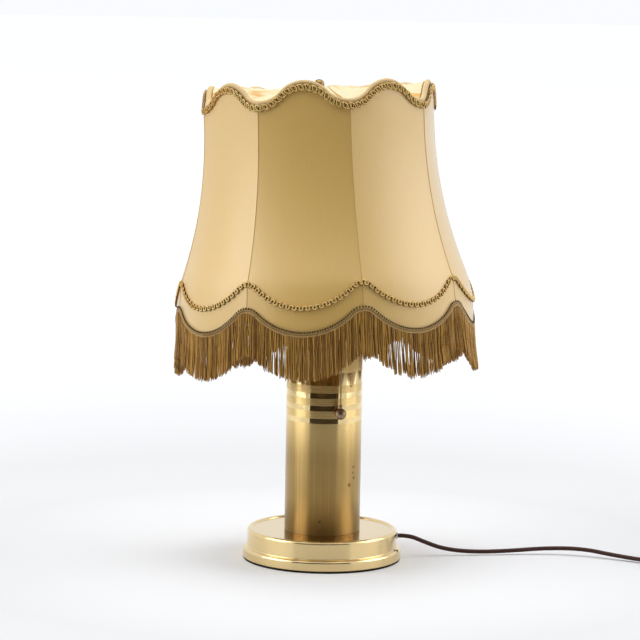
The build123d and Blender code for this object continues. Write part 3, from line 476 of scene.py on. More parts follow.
def metalMaterial(name, light, dark, rough, tarnish, specks, dulling=0.08, speckTone=(70, 48, 22)):
    material, tree = newMaterial(name, Metallic=1.0)
    aged = placeGroup(tree, brassTarnish, Amount=tarnish).outputs
    toned = mixColour(tree, aged["Mask"], light, dark)
    setShader(material, Base_Color=mixColour(tree, times(tree, aged["Speck"], specks), toned, speckTone),
              Roughness=plus(tree, times(tree, aged["Mask"], dulling), rough))
    return material


def mouldedMaterial(name, light, dark, rough, gloss=0.5):
    material, tree = newMaterial(name, Roughness=rough, Specular_IOR_Level=gloss)
    noise = noiseAt(tree, objectSpot(tree), scale=420.0, detail=3.0)
    setShader(material, Base_Color=mixColour(tree, noise, dark, light),
              Normal=bumped(tree, noise, strength=0.15, distance=0.0002))
    return material


looks = [
    (metalMaterial, ("light", "dark", "rough", "tarnish", "specks", "dulling"), {
        "polishedBrass": ((230, 207, 158), (212, 178, 116), 0.10, 0.35, 0.15),
        "spunBrass": ((232, 208, 156), (216, 182, 118), 0.20, 0.35, 0.15),
        "satinBrass": ((206, 172, 108), (150, 112, 56), 0.26, 0.5, 0.2),
        "agedBrass": ((150, 122, 74), (70, 52, 26), 0.24, 0.8, 0.6, 0.2),
        "ballBrass": ((168, 142, 118), (104, 82, 62), 0.4, 0.7, 0.4, 0.1),
        "zincSteel": ((190, 190, 188), (130, 130, 128), 0.34, 0.4, 0.1),
        "castIron": ((70, 68, 66), (40, 36, 34), 0.6, 0.6, 0.3),
        "brightAlloy": ((214, 212, 206), (160, 156, 150), 0.28, 0.4, 0.1),
    }),
    (clothMaterial, ("light", "dark", "threads", "bump", "rough", "sheen", "gloss"), {
        "shadeSatin": ((239, 199, 114), (234, 190, 102), 2600.0, 0.12, 0.38, 0.75, 1.0),
        "liningCloth": ((240, 230, 206), (228, 214, 182), 2000.0, 0.2, 0.75, 0.2),
        "bindingCloth": ((238, 212, 158), (218, 184, 126), 2200.0, 0.25, 0.6, 0.15),
        "seamCloth": ((222, 184, 114), (202, 164, 96), 2400.0, 0.3, 0.7, 0.1),
        "feltCloth": ((24, 22, 21), (12, 11, 11), 1500.0, 0.6, 0.95, 0.0),
    }),
    (yarnMaterial, ("light", "dark", "lay", "plies", "rough", "sheen", "twisted"), {
        "gimpYarn": ((255, 226, 146), (240, 190, 100), 0.003, 3.0, 0.32, 0.2, 0.45),
        "gimpGroundAndShade": ((108, 58, 24), (78, 40, 16), 0.002, 2.0, 0.8, 0.0),
        "headerCord": ((192, 158, 98), (140, 108, 62), 0.0024, 2.0, 0.6, 0.1),
        "headerPicot": ((82, 60, 34), (54, 38, 20), 0.002, 2.0, 0.7, 0.1),
        "headerBraid": ((228, 194, 126), (180, 142, 82), 0.0022, 4.0, 0.5, 0.1),
        "fringeYarn": ((224, 174, 86), (126, 86, 36), 0.0030, 2.0, 0.42, 0.0, 0.3),
        "pullYarn": ((228, 210, 170), (196, 172, 126), 0.003, 2.0, 0.6),
    }),
    (mouldedMaterial, ("light", "dark", "rough", "gloss"), {
        "leadSheath": ((80, 46, 38), (52, 28, 22), 0.46, 0.25),
        "plugMoulding": ((66, 46, 36), (46, 30, 22), 0.36),
        "tieWrap": ((40, 36, 32), (26, 24, 22), 0.5),
        "whiteEnamel": ((236, 232, 222), (222, 216, 202), 0.35),
        "bakelite": ((226, 220, 206), (206, 198, 180), 0.4),
    }),
]
for make, keys, rows in looks:
    for label, row in rows.items():  # a value left off a row keeps the maker's own
        finish[label] = make(label, **dict(zip(keys, row)))
quarterTurn = 0.25  # lays the stretched highlight up and down a turned piece
setShader(finish["spunBrass"], Anisotropic=0.85, Anisotropic_Rotation=quarterTurn)
setShader(finish["shadeSatin"], Coat_Weight=0.35, Coat_Roughness=0.28)

# column finish: brushed brass with polished bands left bright, rubbed, painted light on the upper part, dark at the
# foot and stained in places
columnFinish = {
    "brass": dict(light=(182, 153, 97), dark=(154, 121, 66), rough=0.35, tarnish=0.5, specks=0.0),
    "grain": 0.16, "finer": 0.06, "polished": 0.11, "stretch": 1.0, "streaks": 0.28, "footDark": 0.7,
    "bands": [(0.1472, 0.1525), (0.1603, 0.1658), (0.1733, 0.1788), (0.1866, 0.1996)],
    "upper": (0.104, 0.158), "foot": (0.066, 0.031), "brushing": (12.0, 12.0, 5200.0), "rubbing": (420.0, 420.0, 2.5),
    "rubbed": (0.52, 0.72), "bandTone": (222, 198, 144), "upperPaintedLight": (232, 202, 138), "streakTone": (214, 190, 142),
    "footTone": (112, 94, 70), "stainTone": (96, 62, 28), "stain": 0.65, "stainRim": (1.5, 1.1), "stainGrain": 900.0,
    "spots": [((0.0272, -0.0281, 0.0824), 0.0026), ((0.0313, -0.0234, 0.1005), 0.0020),
              ((0.0307, -0.0242, 0.0945), 0.0015), ((0.0317, -0.0229, 0.0890), 0.0021),
              ((0.0272, -0.0281, 0.1855), 0.0015), ((-0.0026, -0.0390, 0.0455), 0.0018)],
}


def makeColumnBrass():
    look = columnFinish
    material = metalMaterial("columnBrass", **look["brass"])
    tree = material.node_tree
    shader = setShader(material, Anisotropic=look["stretch"], Anisotropic_Rotation=quarterTurn)
    spot = objectSpot(tree)
    height = addNode(tree, "ShaderNodeSeparateXYZ", Vector=spot).outputs["Z"]
    bright = 0.0
    for low, high in look["bands"]:
        inside = times(tree, mathNode(tree, "GREATER_THAN", height, low), mathNode(tree, "LESS_THAN", height, high))
        bright = plus(tree, bright, inside)
    plain = mathNode(tree, "SUBTRACT", 1.0, bright)
    brushed = times(tree, plain, stretchedNoise(tree, spot, look["brushing"], detail=2.0))
    # the upper satin is turned finer and also painted lighter, painted light where the shade's shadow falls
    finer = times(tree, plain, ramp(tree, height, look["upper"], kind="SMOOTHSTEP"))
    least = look["brass"]["rough"] - look["grain"] / 2
    rough = plus(tree, times(tree, brushed, look["grain"]), least)
    rough = mathNode(tree, "SUBTRACT", rough, times(tree, finer, look["finer"]))
    rough = mathNode(tree, "SUBTRACT", rough, times(tree, bright, least - look["polished"]))
    rubbed = ramp(tree, stretchedNoise(tree, spot, look["rubbing"], detail=2.0), look["rubbed"])
    streak = times(tree, rubbed, look["streaks"])
    foot = times(tree, ramp(tree, height, look["foot"]), look["footDark"])
    body = shader.inputs["Base Color"].links[0].from_socket
    for mask, tone in ((streak, "streakTone"), (finer, "upperPaintedLight"), (bright, "bandTone"), (foot, "footTone")):
        body = mixColour(tree, mask, body, look[tone])
    outer, inner = look["stainRim"]
    for place, size in look["spots"]:
        reach = addNode(tree, "ShaderNodeVectorMath", {"operation": "DISTANCE"})
        feed(tree, reach.inputs[0], spot)
        feed(tree, reach.inputs[1], place)
        ragged = times(tree, noiseAt(tree, spot, look["stainGrain"]), size)
        edge = plus(tree, reach.outputs["Value"], ragged)
        stain = times(tree, ramp(tree, edge, (size * outer, size * inner)), look["stain"])
        body = mixColour(tree, stain, body, look["stainTone"])
    setShader(material, Base_Color=body, Roughness=rough, Normal=bumped(tree, brushed, strength=0.12, distance=5e-5))
    return material


def makeBulbGlass():
    material, tree = newMaterial("bulbGlass", Roughness=0.35, Transmission_Weight=0.35)
    noise = noiseAt(tree, objectSpot(tree), scale=60.0)
    setShader(material, Base_Color=mixColour(tree, noise, (236, 234, 226), (246, 244, 238)))
    return material


# thin cloth over an open frame: the light that shows through it between the gathered pleats is painted in as gold slits
coverLook = {"cream": (252, 240, 206), "shadow": (238, 214, 160), "gold": (228, 176, 84),
             "glowSlits": (95.0, 14.0, 1.0), "slitEdge": (0.53, 0.62)}


def makeCoverCloth():
    material, tree = newMaterial("coverCloth", Roughness=0.6, Sheen_Weight=0.2, Sheen_Roughness=0.4)
    paintedGlow = ramp(tree, stretchedNoise(tree, metreSpot(tree), coverLook["glowSlits"], detail=1.0), coverLook["slitEdge"])
    weave = placeGroup(tree, threadWeave, Threads=2000.0, Unevenness=0.5).outputs
    cream = mixColour(tree, weave["Slub"], coverLook["shadow"], coverLook["cream"])
    setShader(material, Base_Color=mixColour(tree, paintedGlow, cream, coverLook["gold"]),
              Normal=bumped(tree, weave["Height"], strength=0.2, distance=0.0002))
    return material


finish.update(columnBrass=makeColumnBrass(), bulbGlass=makeBulbGlass(), coverCloth=makeCoverCloth())
print("materials ready:", len(finish))

# finishes on the solids that stay as they are
nodeFinish = {
    "castIron": ["base_weight"], "agedBrass": ["finial"], "bakelite": ["socket_body"], "leadSheath": ["inner_lead"],
    "tieWrap": ["coil_tie"], "plugMoulding": ["plug_body"], "bulbGlass": ["bulb_glass"],
    "zincSteel": ["tie_rod", "lower_washer", "lower_nut", "column_locator"],
    "satinBrass": ["column_cap", "harp_saddle", "socket_cap", "socket_shell", "switch_guide", "harp", "harp_stud"],
    "polishedBrass": ["screw_shell", "centre_contact", "plug_pins"],
    "brightAlloy": ["lead_bush", "bulb_cap"],
    "whiteEnamel": ["spider_hub", "spider_arms", "vent_ring", "top_wire", "bottom_wire", "shade_ribs"],
}
for label, nodeNames in nodeFinish.items():
    for nodeName in nodeNames:
        cadNodes[nodeName].data.materials.clear()
        cadNodes[nodeName].data.materials.append(finish[label])
print("solids finished:", sum(map(len, nodeFinish.values())))

# mains lead: out of the base, along the floor, put away in a coil past the picture's edge
lead = {
    "diameter": 0.0045, "length": 1.81, "start": (0.07861, 0.00965, 0.0226),
    "route": [(0.09141, 0.01122, 0.0226), (0.107, 0.0146, 0.0154), (0.128, 0.019, 0.0072), (0.158, 0.0235, 0.0036),
              (0.196, 0.030, 0.0040), (0.236, 0.036, 0.0066), (0.274, 0.031, 0.0076), (0.306, 0.015, 0.0044),
              (0.33646, -0.00272, 0.00335)],
    "coilCentre": (0.381, 0.0087), "coilStart": 243.0, "turns": 9.25, "layers": 4, "outer": 0.0304, "inner": 0.0187,
    "layerPitch": 0.0051, "lift": 0.0011, "pointsPerTurn": 16,
    "tail": [(0.41808, 0.0145, 0.01865), (0.4208, 0.033, 0.0124), (0.4195, 0.051, 0.0065)],
    "plug": (0.415, 0.0685, 0.0065),
}


def coilPoint(turn):
    layerTurn = tau * lead["turns"] / lead["layers"]
    layer, along = divmod(turn / layerTurn, 1)
    along = 1 - along if layer % 2 else along
    radius = lead["outer"] - (lead["outer"] - lead["inner"]) * along
    height = lead["diameter"] / 2 + lead["lift"]
    for reversal in range(1, lead["layers"]):
        share = min(max((turn - reversal * layerTurn) / pi + 0.5, 0), 1)
        height += lead["layerPitch"] * share * share * (3 - 2 * share)
    bearing = radians(lead["coilStart"]) + turn
    x, y = lead["coilCentre"]
    return (x + radius * cos(bearing), y + radius * sin(bearing), height)


def cordCurve(name, points, diameter):
    curve = bpy.data.curves.new(name, "CURVE")
    curve.dimensions = "3D"
    curve.bevel_depth = diameter / 2
    curve.bevel_resolution = 4
    curve.use_fill_caps = True
    spline = curve.splines.new("NURBS")
    spline.points.add(len(points) - 1)
    for point, place in zip(spline.points, points):
        point.co = (*place, 1.0)
    spline.order_u = 3
    spline.use_endpoint_u = True
    spline.resolution_u = 6
    return curve


def addLead():
    turnCount = round(lead["turns"] * lead["pointsPerTurn"])
    coil = [coilPoint(tau * i / lead["pointsPerTurn"]) for i in range(turnCount)]
    coil.append(coilPoint(tau * lead["turns"] - 1e-6))  # just short of a fifth layer
    points = [lead["start"]] + lead["route"] + coil + lead["tail"] + [lead["plug"]]
    curve = cordCurve("mainsLead", points, lead["diameter"])
    piece = addObject("mainsLead", curve, ["leadSheath"], "stand", "lead_brown", "cord_lead", "cord_coil", "cord_tail")
    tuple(lead["start"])


addLead()

# pull cord from the switch guide to the ball
pull = {"place": (0.01686, -0.0428), "top": 0.26175, "foot": 0.1586, "diameter": 0.0014, "steps": 5, "ball": 0.0059,
        "ballSteps": 28, "ferrule": 0.0019, "ferruleHeight": 0.0032, "ferruleEdge": (0.0005, 0.0006), "segments": 48}


def addPull():
    x, y = pull["place"]
    heights = [pull["top"] + (pull["foot"] - pull["top"]) * i / pull["steps"] for i in range(pull["steps"] + 1)]
    curve = cordCurve("pullCord", [(x, y, z) for z in heights], pull["diameter"])
    cord = addObject("pullCord", curve, ["pullYarn"], "pull", "pull_line", "pull_cord")
    ball, foot = pull["ball"], pull["foot"]
    meet = degrees(acos(pull["ferrule"] / ball))
    profile = arcProfile((0, foot), ball, -90, meet, pull["ballSteps"])
    tip = foot + ball + pull["ferruleHeight"]
    inward, down = pull["ferruleEdge"]
    profile += [(pull["ferrule"], tip - down), (pull["ferrule"] - inward, tip), (0.0, tip)]
    mesh = latheMesh("pullBall", profile, pull["segments"])
    mesh.transform(Matrix.Translation((x, y, 0)))
    knob = addObject("pullBall", mesh, ["ballBrass"], "pull", "brass_aged", "pull_ball")


addPull()
print("cords laid")

# spun base and column, turned finer than the solids so that reflections run clean
base = {"flange": 0.0822, "flangeTop": 0.013, "flangeRound": 0.0032, "flangeSteps": 14, "cove": 0.001, "coveSteps": 8,
        "wall": 0.0776, "height": 0.032, "rimRound": 0.0033, "rimSteps": 20, "top": 0.0304, "topHole": 0.006,
        "felt": 0.002, "footEdge": 0.0008, "footHole": 0.010, "skin": 0.0001, "segments": 256}
column = {"radius": 0.0391, "foot": 0.0304, "top": 0.2304, "edge": 0.0003, "lip": 0.0015, "sharp": 50}
felt = {"profile": [(0.0, 0.0), (0.0808, 0.0), (0.0814, 0.0004), (0.0815, 0.001), (0.0814, 0.0018), (0.0808, 0.002),
                    (0.0, 0.002)], "segments": 128}


def addBase():
    flange, flangeTop, cove = base["flange"], base["flangeTop"], base["cove"]
    rim = (base["wall"] - base["rimRound"], base["height"] - base["rimRound"])
    dip = degrees(asin((base["top"] - rim[1]) / base["rimRound"]))
    profile = [(base["topHole"], base["top"])] + arcProfile(rim, base["rimRound"], 180 - dip, 0, base["rimSteps"])
    profile += arcProfile((base["wall"] + cove, flangeTop + cove), cove, 180, 270, base["coveSteps"])
    corner = (flange - base["flangeRound"], flangeTop - base["flangeRound"])
    profile += arcProfile(corner, base["flangeRound"], 90, 0, base["flangeSteps"])
    profile += [(flange, base["felt"] + base["footEdge"]), (flange - base["footEdge"], base["felt"]),
                (base["footHole"], base["felt"])]
    mesh = latheMesh("spunBase", profile, base["segments"])
    addObject("spunBase", mesh, ["spunBrass", "polishedBrass"], "stand", "brass_polished", "base_shell")
    for face in mesh.polygons:  # the flat top and the ledge are polished
        height = face.center.z
        flatTop = height > base["top"] - base["skin"] and face.center.xy.length < rim[0]
        face.material_index = int(flatTop or corner[1] < height < flangeTop + cove)


def addColumn():
    radius, foot, top, edge = column["radius"], column["foot"], column["top"], column["edge"]
    profile = [(radius - column["lip"], foot), (radius - edge, foot), (radius, foot + edge), (radius, top - edge),
               (radius - edge, top), (radius - column["lip"], top)]
    mesh = latheMesh("columnTube", profile, base["segments"], column["sharp"])
    addObject("columnTube", mesh, ["columnBrass"], "stand", "brass_satin", "column_tube")


def addFelt():
    mesh = latheMesh("feltPad", felt["profile"], felt["segments"])
    addObject("feltPad", mesh, ["feltCloth"], "stand", "felt", "felt_pad")


addBase()
addColumn()
addFelt()
print("base and column turned")


# columns of places up one panel, from its hem to its top edge
def panelColumns(panel, sheet):
    places, uvs = [], []
    standoff, columns, rows = sheet["standoff"], sheet["columns"], sheet["rows"]
    lowHalf, highHalf = halfWidth(hem, standoff), halfWidth(crest, standoff)
    for i in range(columns):
        share = 2 * i / (columns - 1) - 1
        low = scallopLine(share * lowHalf, lowHalf, hem) + sheet["hemShift"]
        high = topLine(share * highHalf, highHalf) + sheet["topShift"]
        for j in range(rows):
            height = low + (high - low) * (j / (rows - 1))
            across = share * halfWidth(height, standoff)
            places.append(clothPoint(panel, across, height, standoff))
            uvs.append((across, height))
    return places, uvs


panelSheet = {"standoff": 0.00275, "columns": 29, "rows": 60, "topShift": -0.0034, "hemShift": -0.00175,
              "flat": (0.122, 0.262)}
seam = {"radius": 0.00036, "steps": 50, "apart": 2.0}


def addPanels():
    for panel in range(panels):
        places, uvs = panelColumns(panel, panelSheet)
        name = f"shadePanel{panel + 1}"
        mesh = meshFrom(name, places, gridFaces(panelSheet["columns"], panelSheet["rows"]), uvs)
        piece = addObject(name, mesh, ["shadeSatin"], "shade", "shade_cloth", f"shade_panel_{panel + 1}")


def addSeams():
    seams = TubeSet()
    standoff = panelSheet["standoff"]
    low, high = hem + panelSheet["hemShift"], shade["valley"] + panelSheet["topShift"]
    for panel in range(panels):
        line = []
        for i in range(seam["steps"] + 1):
            height = low + (high - low) * i / seam["steps"]
            line.append(clothPoint(panel, halfWidth(height, standoff), height, standoff))
        seams.add(line, seam["radius"], along=panel * seam["apart"])
    addTubes("ribSeams", seams, ["seamCloth"], "shade_cloth")


addPanels()
addSeams()
print("panels stretched:", panels)

lining = {"standoff": -0.00225, "columns": 16, "rows": 30, "topShift": -0.0068, "hemShift": 0.0035,
          "flat": (0.93, 0.27), "panelApart": 0.13}


def addLining():
    places, uvs = [], []
    for panel in range(panels):
        panelPlaces, panelUvs = panelColumns(panel, lining)
        places += panelPlaces[:-lining["rows"]]  # the last column is the next panel's first
        uvs += [(u + panel * lining["panelApart"], v) for u, v in panelUvs[:-lining["rows"]]]
    columns = panels * (lining["columns"] - 1)
    mesh = meshFrom("lining", places, gridFaces(columns, lining["rows"], True), uvs)
    piece = addObject("liningCloth", mesh, ["liningCloth"], "shade", "lining_cloth", "lining")


addLining()

# gathered cover, drawn in pleats from the bound rim to the vent ring
cover = {
    "inset": 0.0049, "rimLift": 0.0010, "ventRadius": 0.036, "ventHeight": 0.4884, "rows": 16, "perPanel": 60,
    "foldWidth": (0.007, 0.016), "foldDepth": (0.5, 1.0), "foldRound": 0.7, "pleat": 0.0020, "rimPleat": 0.25,
    "pleatStart": 0.12, "pleatReach": 0.75, "sag": 0.0035, "ribSag": 0.5, "seed": 7, "uv": (0.0015, 0.08),
    "flatLength": 0.74, "allowance": 0.002,
}


def addCover():
    mix = random.Random(cover["seed"])
    count = panels * cover["perPanel"]
    folds = []
    turn = 0.0
    while turn < 1.0:
        width = mix.uniform(*cover["foldWidth"])
        folds.append((turn, min(turn + width, 1.0), mix.uniform(*cover["foldDepth"])))
        mix.random()  # one draw a fold is set aside, which keeps the pleats where they are
        turn += width
    places, uvs = [], []
    half = halfWidth(crest, 0)
    index = 0
    for i in range(count):
        panel, step = divmod(i, cover["perPanel"])
        share = 2 * step / cover["perPanel"] - 1
        across = share * half
        rim = uprightPoint(panel, across, topLine(across, half) + cover["rimLift"], -cover["inset"])
        while folds[index][1] < i / count:
            index += 1
        start, end, depth = folds[index]
        inFold = (i / count - start) / (end - start)
        ridge = sin(pi * min(max(inFold, 0), 1)) ** cover["foldRound"] * depth
        inner = Vector((rim.x, rim.y, 0)).normalized() * cover["ventRadius"]
        inner.z = cover["ventHeight"]
        for j in range(cover["rows"]):
            rise = j / (cover["rows"] - 1)
            place = rim.lerp(inner, rise)
            gather = cover["rimPleat"] + (1 - cover["rimPleat"]) * rise
            swell = sin(pi * min(rise + cover["pleatStart"], 1) * cover["pleatReach"])
            place.z += cover["pleat"] * ridge * gather * swell
            place.z -= cover["sag"] * sin(pi * rise) * (1 - cover["ribSag"] * share**2)
            places.append(leanTurn @ place)
            uvs.append((i * cover["uv"][0], rise * cover["uv"][1]))
    mesh = meshFrom("topCover", places, gridFaces(count, cover["rows"], True), uvs)
    piece = addObject("topCover", mesh, ["coverCloth"], "shade", "cover_cloth", "top_cover")


addCover()
print("lining and cover sewn")

# rolled binding over the top wire
binding = {"radius": 0.0031, "inset": -0.0013, "steps": 720, "sides": 12, "wrinkle": 0.00022, "waves": (1.9, 0.37)}


def addBinding():
    ring = TrimRing(topLine, crest, binding["inset"])
    quick, slow = binding["waves"]
    radii = [binding["radius"] - binding["wrinkle"] * (1 + sin(i * quick) * sin(i * slow)) / 2
             for i in range(binding["steps"])]
    roll = TubeSet()
    roll.add(ring.loop(binding["steps"]), radii, binding["sides"], closed=True)
    addTubes("rimBinding", roll, ["bindingCloth"], "binding_cloth", "rim_binding")


addBinding()

# looped scroll braid below the rim and meander braid at the knee, each a gold cord edged by a darker cord that is
# painted shade
topGimp = {"standoff": 0.0036, "drop": 0.0046, "pitch": 0.0070, "width": 0.0029, "loop": 0.0024, "cord": 0.00068,
           "edge": 0.00090, "lift": 0.00045, "steps": 22, "tape": 0.0019, "tapeOut": -0.0002, "tapeSteps": 720}
kneeGimp = {"standoff": 0.0034, "pitch": 0.0067, "width": 0.0020, "loop": 0.0009, "cord": 0.00078, "edge": 0.00108,
            "lift": 0.0007, "steps": 18}
braid = {"tapeV": 0.25, "backFacing": -0.15}


# the dark edging is painted shade, so the back of a braid, which shows past the rim at the sides, has the pale second
# finish
def turnBack(mesh):
    middle = sum((point.co for point in mesh.vertices), Vector()) / len(mesh.vertices)
    for face in mesh.polygons:
        outward = face.center - middle
        outward.z = 0
        face.material_index = int(face.normal.dot(outward.normalized()) < braid["backFacing"])


def addBraid(name, paths, settings, groundAndShade, node):
    gold = TubeSet()
    # each gold cord lies on a darker, wider cord, painted shade round its loops
    for tubes, radius, lift in ((gold, settings["cord"], settings["lift"]), (groundAndShade, settings["edge"], 0.0)):
        for path in paths(lift):
            tubes.add(path, radius, closed=True)
    addTubes(name, gold, ["gimpYarn"], "trim_gold", node)
    shadeEdging = addTubes(name + "Edge", groundAndShade, ["gimpGroundAndShade", "bindingCloth"], "trim_gold")
    turnBack(shadeEdging.data)


def addTopGimp():
    ring = TrimRing(lambda x, half: topLine(x, half) - topGimp["drop"], crest, topGimp["standoff"])
    repeats, pitch = ring.divide(topGimp["pitch"])

    def scrolls(lift):
        for mirror, shift in ((1, 0.0), (-1, 0.5)):
            path = []
            for i in range(repeats * topGimp["steps"]):
                turn = i / topGimp["steps"]
                swing = tau * turn
                along = (turn + shift) * pitch + topGimp["loop"] * sin(swing)
                over = topGimp["lift"] * (1 + mirror * sin(swing))
                path.append(ring.at(along, mirror * topGimp["width"] * cos(swing), lift + over))
            yield path

    # backing tape behind the top braid, dark as painted shade in the holes of the loops
    groundAndShade = TubeSet()
    steps = topGimp["tapeSteps"]
    edges = [ring.loop(steps, up, topGimp["tapeOut"]) for up in (-topGimp["tape"], topGimp["tape"])]
    for i, pair in enumerate(zip(*edges)):
        here, there = 2 * i, 2 * ((i + 1) % steps)
        groundAndShade.points += pair
        groundAndShade.uvs += [(ring.length * i / steps, braid["tapeV"])] * 2
        groundAndShade.faces.append((here, there, there + 1, here + 1))
    addBraid("topGimp", scrolls, topGimp, groundAndShade, "top_gimp")


def addKneeGimp():
    ring = TrimRing(lambda x, half: scallopLine(x, half, knee), hem, kneeGimp["standoff"])
    repeats, pitch = ring.divide(kneeGimp["pitch"])

    def meander(lift):
        path = []
        for i in range(repeats * kneeGimp["steps"]):
            turn = i / kneeGimp["steps"]
            swing = tau * turn
            along = turn * pitch - kneeGimp["loop"] * sin(2 * swing)
            path.append(ring.at(along, kneeGimp["width"] * sin(swing), lift))
        yield path

    addBraid("kneeGimp", meander, kneeGimp, TubeSet(), "lower_gimp")


addTopGimp()
addKneeGimp()
print("braids laid")

# fringe: woven heading with picots, and twisted yarns that hang from it
heading = {
    "cords": [("headingCordUpper", 0.0013, 0.00062, "headerBraid"), ("headingCordLower", 0.0001, 0.00062, "headerCord"),
              ("headingBraid", -0.0013, 0.00085, "headerBraid")],
    "steps": 900, "sides": 8,
}
picot = {"pitch": 0.0027, "points": 6, "half": 0.0004, "foot": 0.0019, "height": 0.0016, "out": 0.0004,
         "radius": 0.00046, "sides": 5}
fringe = {
    "standoff": 0.0037, "spacing": 0.00130, "radius": 0.00060, "length": 0.0440, "uneven": 0.0024, "flare": 0.055,
    "drift": 0.0010, "jitter": 0.00045, "behind": 0.0016, "clump": 0.55, "clumps": (2, 2, 3, 3, 4), "seed": 11,
    "points": 15, "flat": 0.8, "twistPitch": 0.03, "waves": 6, "waveNumbers": (30, 90),
    "wavePhases": (0, 6.28), "waveSizes": (0.4, 1.0), "waveShare": 3, "slip": 0.12, "flareJitter": 0.015,
    "lengthSwing": 0.5, "lengthJitter": 0.45, "root": -0.0010, "rootOut": (-0.0003, 0.0004), "bend": 0.00025,
    "bendTurns": 3, "curl": 1.6, "drawn": 3, "tipStart": 0.9, "tipTaper": 0.35, "swell": 0.12, "shades": 0.9,
}


def addHeading(ring):
    for name, up, radius, finishName in heading["cords"]:
        rope = TubeSet()
        rope.add(ring.loop(heading["steps"], up), radius, heading["sides"], closed=True)
        addTubes(name, rope, [finishName], "fringe_gold")
    picots = TubeSet()
    count, _ = ring.divide(picot["pitch"])
    for i in range(count):
        middle = ring.length * i / count
        loop = []
        for j in range(picot["points"]):
            turn = pi * j / (picot["points"] - 1)
            up = picot["foot"] + picot["height"] * sin(turn)
            loop.append(ring.at(middle - picot["half"] * cos(turn), up, picot["out"]))
        picots.add(loop, picot["radius"], picot["sides"], along=float(i))
    addTubes("headingPicots", picots, ["headerPicot"], "fringe_gold")


# radius of a yarn at a share of its length: it swells a little and its tip tapers
def yarnRadius(share):
    past = max(share - fringe["tipStart"], 0) / (1 - fringe["tipStart"])
    return fringe["radius"] * (1 - fringe["tipTaper"] * past**2) * (1 + fringe["swell"] * share)


def addFringe():
    mix = random.Random(fringe["seed"])
    ring = TrimRing(lambda x, half: scallopLine(x, half, hem), hem, fringe["standoff"])
    addHeading(ring)
    count, spacing = ring.divide(fringe["spacing"])
    waves = [(mix.randint(*fringe["waveNumbers"]), mix.uniform(*fringe["wavePhases"]),
              mix.uniform(*fringe["waveSizes"])) for _ in range(fringe["waves"])]
    shares = [j / (fringe["points"] - 1) for j in range(fringe["points"])]
    radii = [yarnRadius(share) for share in shares]
    strands = [TubeSet() for _ in range(panels)]
    clumpEnd, clumpMiddle = 0, 0.0
    for i in range(2 * count):
        row = i % 2  # every loop of yarn hangs as a front and a back strand
        if i >= clumpEnd:  # neighbours draw together in twos, threes and fours
            clumpSize = 2 * mix.choice(fringe["clumps"])
            clumpMiddle = (i + clumpSize / 2 - 0.5) / 2
            clumpEnd = i + clumpSize
        draw = spacing * (clumpMiddle - i / 2) * fringe["clump"]
        along = ring.length * (i / 2 + mix.uniform(-fringe["slip"], fringe["slip"])) / count
        out = ring.frameAt(along)[1]
        sideways = shadeDown.cross(out).normalized()
        swing = sum(size * sin(number * pi * i / count + phase) for number, phase, size in waves)
        swing /= fringe["waveShare"]
        drift = sideways * (fringe["drift"] * swing + mix.gauss(0, fringe["jitter"]))
        outward = (out - shadeDown * out.dot(shadeDown)).normalized()
        flare = outward * fringe["length"] * (fringe["flare"] + mix.gauss(0, fringe["flareJitter"]))
        length = fringe["length"] + fringe["uneven"] * (
            fringe["lengthSwing"] * swing + mix.gauss(0, fringe["lengthJitter"]))
        start = ring.at(along, fringe["root"], mix.uniform(*fringe["rootOut"]) - row * fringe["behind"])
        bend = sideways * mix.gauss(0, fringe["bend"])
        path = []
        for share in shares:
            place = start + shadeDown * length * share + (drift + flare) * share ** fringe["curl"]
            place += bend * sin(fringe["bendTurns"] * pi * share)
            path.append(place + sideways * draw * min(fringe["drawn"] * share, 1))
        panel = min(int(along % ring.length / ring.length * panels), panels - 1)
        strands[panel].add(path, radii, flat=fringe["flat"], spin=pi / fringe["twistPitch"],
                           along=i + fringe["shades"] * mix.random())
    for panel, tubes in enumerate(strands):
        addTubes(f"fringe{panel + 1}", tubes, ["fringeYarn"], "fringe_gold", f"fringe_{panel + 1}")
    print("fringe hung:", count, "yarns")


addFringe()

# stage: pale floor with a painted pool of light round the base, dark studio in front of the lamp, soft light from both
# sides and above
stage = {
    "front": -0.70, "back": 12.0, "width": 12.0, "floor": (236, 237, 239), "white": (250, 252, 255), "world": 0.29,
    "paintedPoolLight": 0.21, "paintedPoolReach": (0.15, 0.40), "farGlow": 0.76, "farReach": (0.60, 2.6),
    "flag": (0.070, 0.052, 0.032), "flagHalf": 4, "flagFront": -4.2, "flagHeights": (-1.6, 3.2), "aim": (0, 0, 0.25),
}
softboxes = {
    "left": dict(place=(-2.7, -0.6, 1.6), power=41.0, size=2.2),
    "right": dict(place=(2.65, 0.1, 1.6), power=34.0, size=2.2),
    "top": dict(place=(0.0, 0.1, 2.8), power=49.0, size=2.4),
}


# one for rays that show the stage itself, in the picture or in brass and glass
def seenDirectly(tree):
    path = addNode(tree, "ShaderNodeLightPath")
    seen = mathNode(tree, "MAXIMUM", path.outputs["Is Camera Ray"], path.outputs["Is Glossy Ray"])
    return mathNode(tree, "MAXIMUM", seen, path.outputs["Is Transmission Ray"])


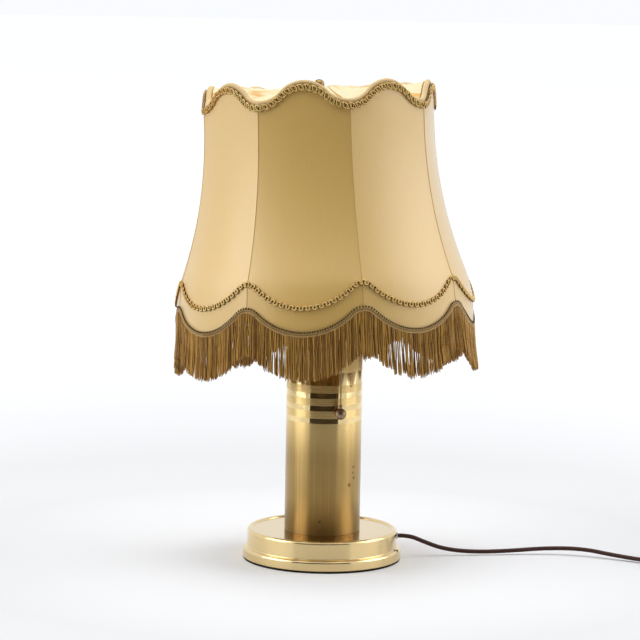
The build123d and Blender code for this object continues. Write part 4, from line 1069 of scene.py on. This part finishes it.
def addStageSheet(name, places, tone):
    mesh = meshFrom(name, places, [(0, 1, 2, 3)])
    sheet = bpy.data.objects.new(name, mesh)
    material, _ = newMaterial(name, Base_Color=tone, Roughness=0.9, Specular_IOR_Level=0.1)
    mesh.materials.append(material)
    scene.collection.objects.link(sheet)
    return sheet, material


def addFloor():
    wide, front, back = stage["width"], stage["front"], stage["back"]
    corners = [(-wide, front, 0), (wide, front, 0), (wide, back, 0), (-wide, back, 0)]
    _, material = addStageSheet("paleFloor", corners, colour(*stage["floor"]))
    tree = material.node_tree
    away = addNode(tree, "ShaderNodeVectorMath", {"operation": "LENGTH"})
    feed(tree, away.inputs[0], addNode(tree, "ShaderNodeNewGeometry").outputs["Position"])
    # painted pool of light round the base that lifts the lamp's shadow off the floor, and a rise to white far off
    near = ramp(tree, away.outputs["Value"], stage["paintedPoolReach"], (stage["paintedPoolLight"], 0.0))
    far = ramp(tree, away.outputs["Value"], stage["farReach"], (0.0, stage["farGlow"]))
    setShader(material, Emission_Color=colour(*stage["white"]),
              Emission_Strength=times(tree, seenDirectly(tree), plus(tree, near, far)))


def addFlag():
    half, front, (low, high) = stage["flagHalf"], stage["flagFront"], stage["flagHeights"]
    corners = [(-half, front, low), (half, front, low), (half, front, high), (-half, front, high)]
    flag, _ = addStageSheet("darkStudio", corners, (*stage["flag"], 1))
    flag.visible_camera = False


def addLights():
    for side, box in softboxes.items():
        light = bpy.data.lights.new(side + "Softbox", "AREA")
        light.size = box["size"]
        light.energy = box["power"]
        lamp = bpy.data.objects.new(side + "Softbox", light)
        lamp.location = box["place"]
        lamp.rotation_euler = (Vector(stage["aim"]) - lamp.location).to_track_quat("-Z", "Y").to_euler()
        scene.collection.objects.link(lamp)


def addWorld():
    world = bpy.data.worlds.new("studio")
    world.use_nodes = True
    scene.world = world
    tree = world.node_tree
    strength = times(tree, seenDirectly(tree), 1 - stage["world"])
    feedNode(tree, tree.nodes["Background"], Color=colour(*stage["white"]),
             Strength=plus(tree, strength, stage["world"]))


addFloor()
addFlag()
addLights()
addWorld()
scene.view_settings.view_transform = "Standard"
print("stage lit")
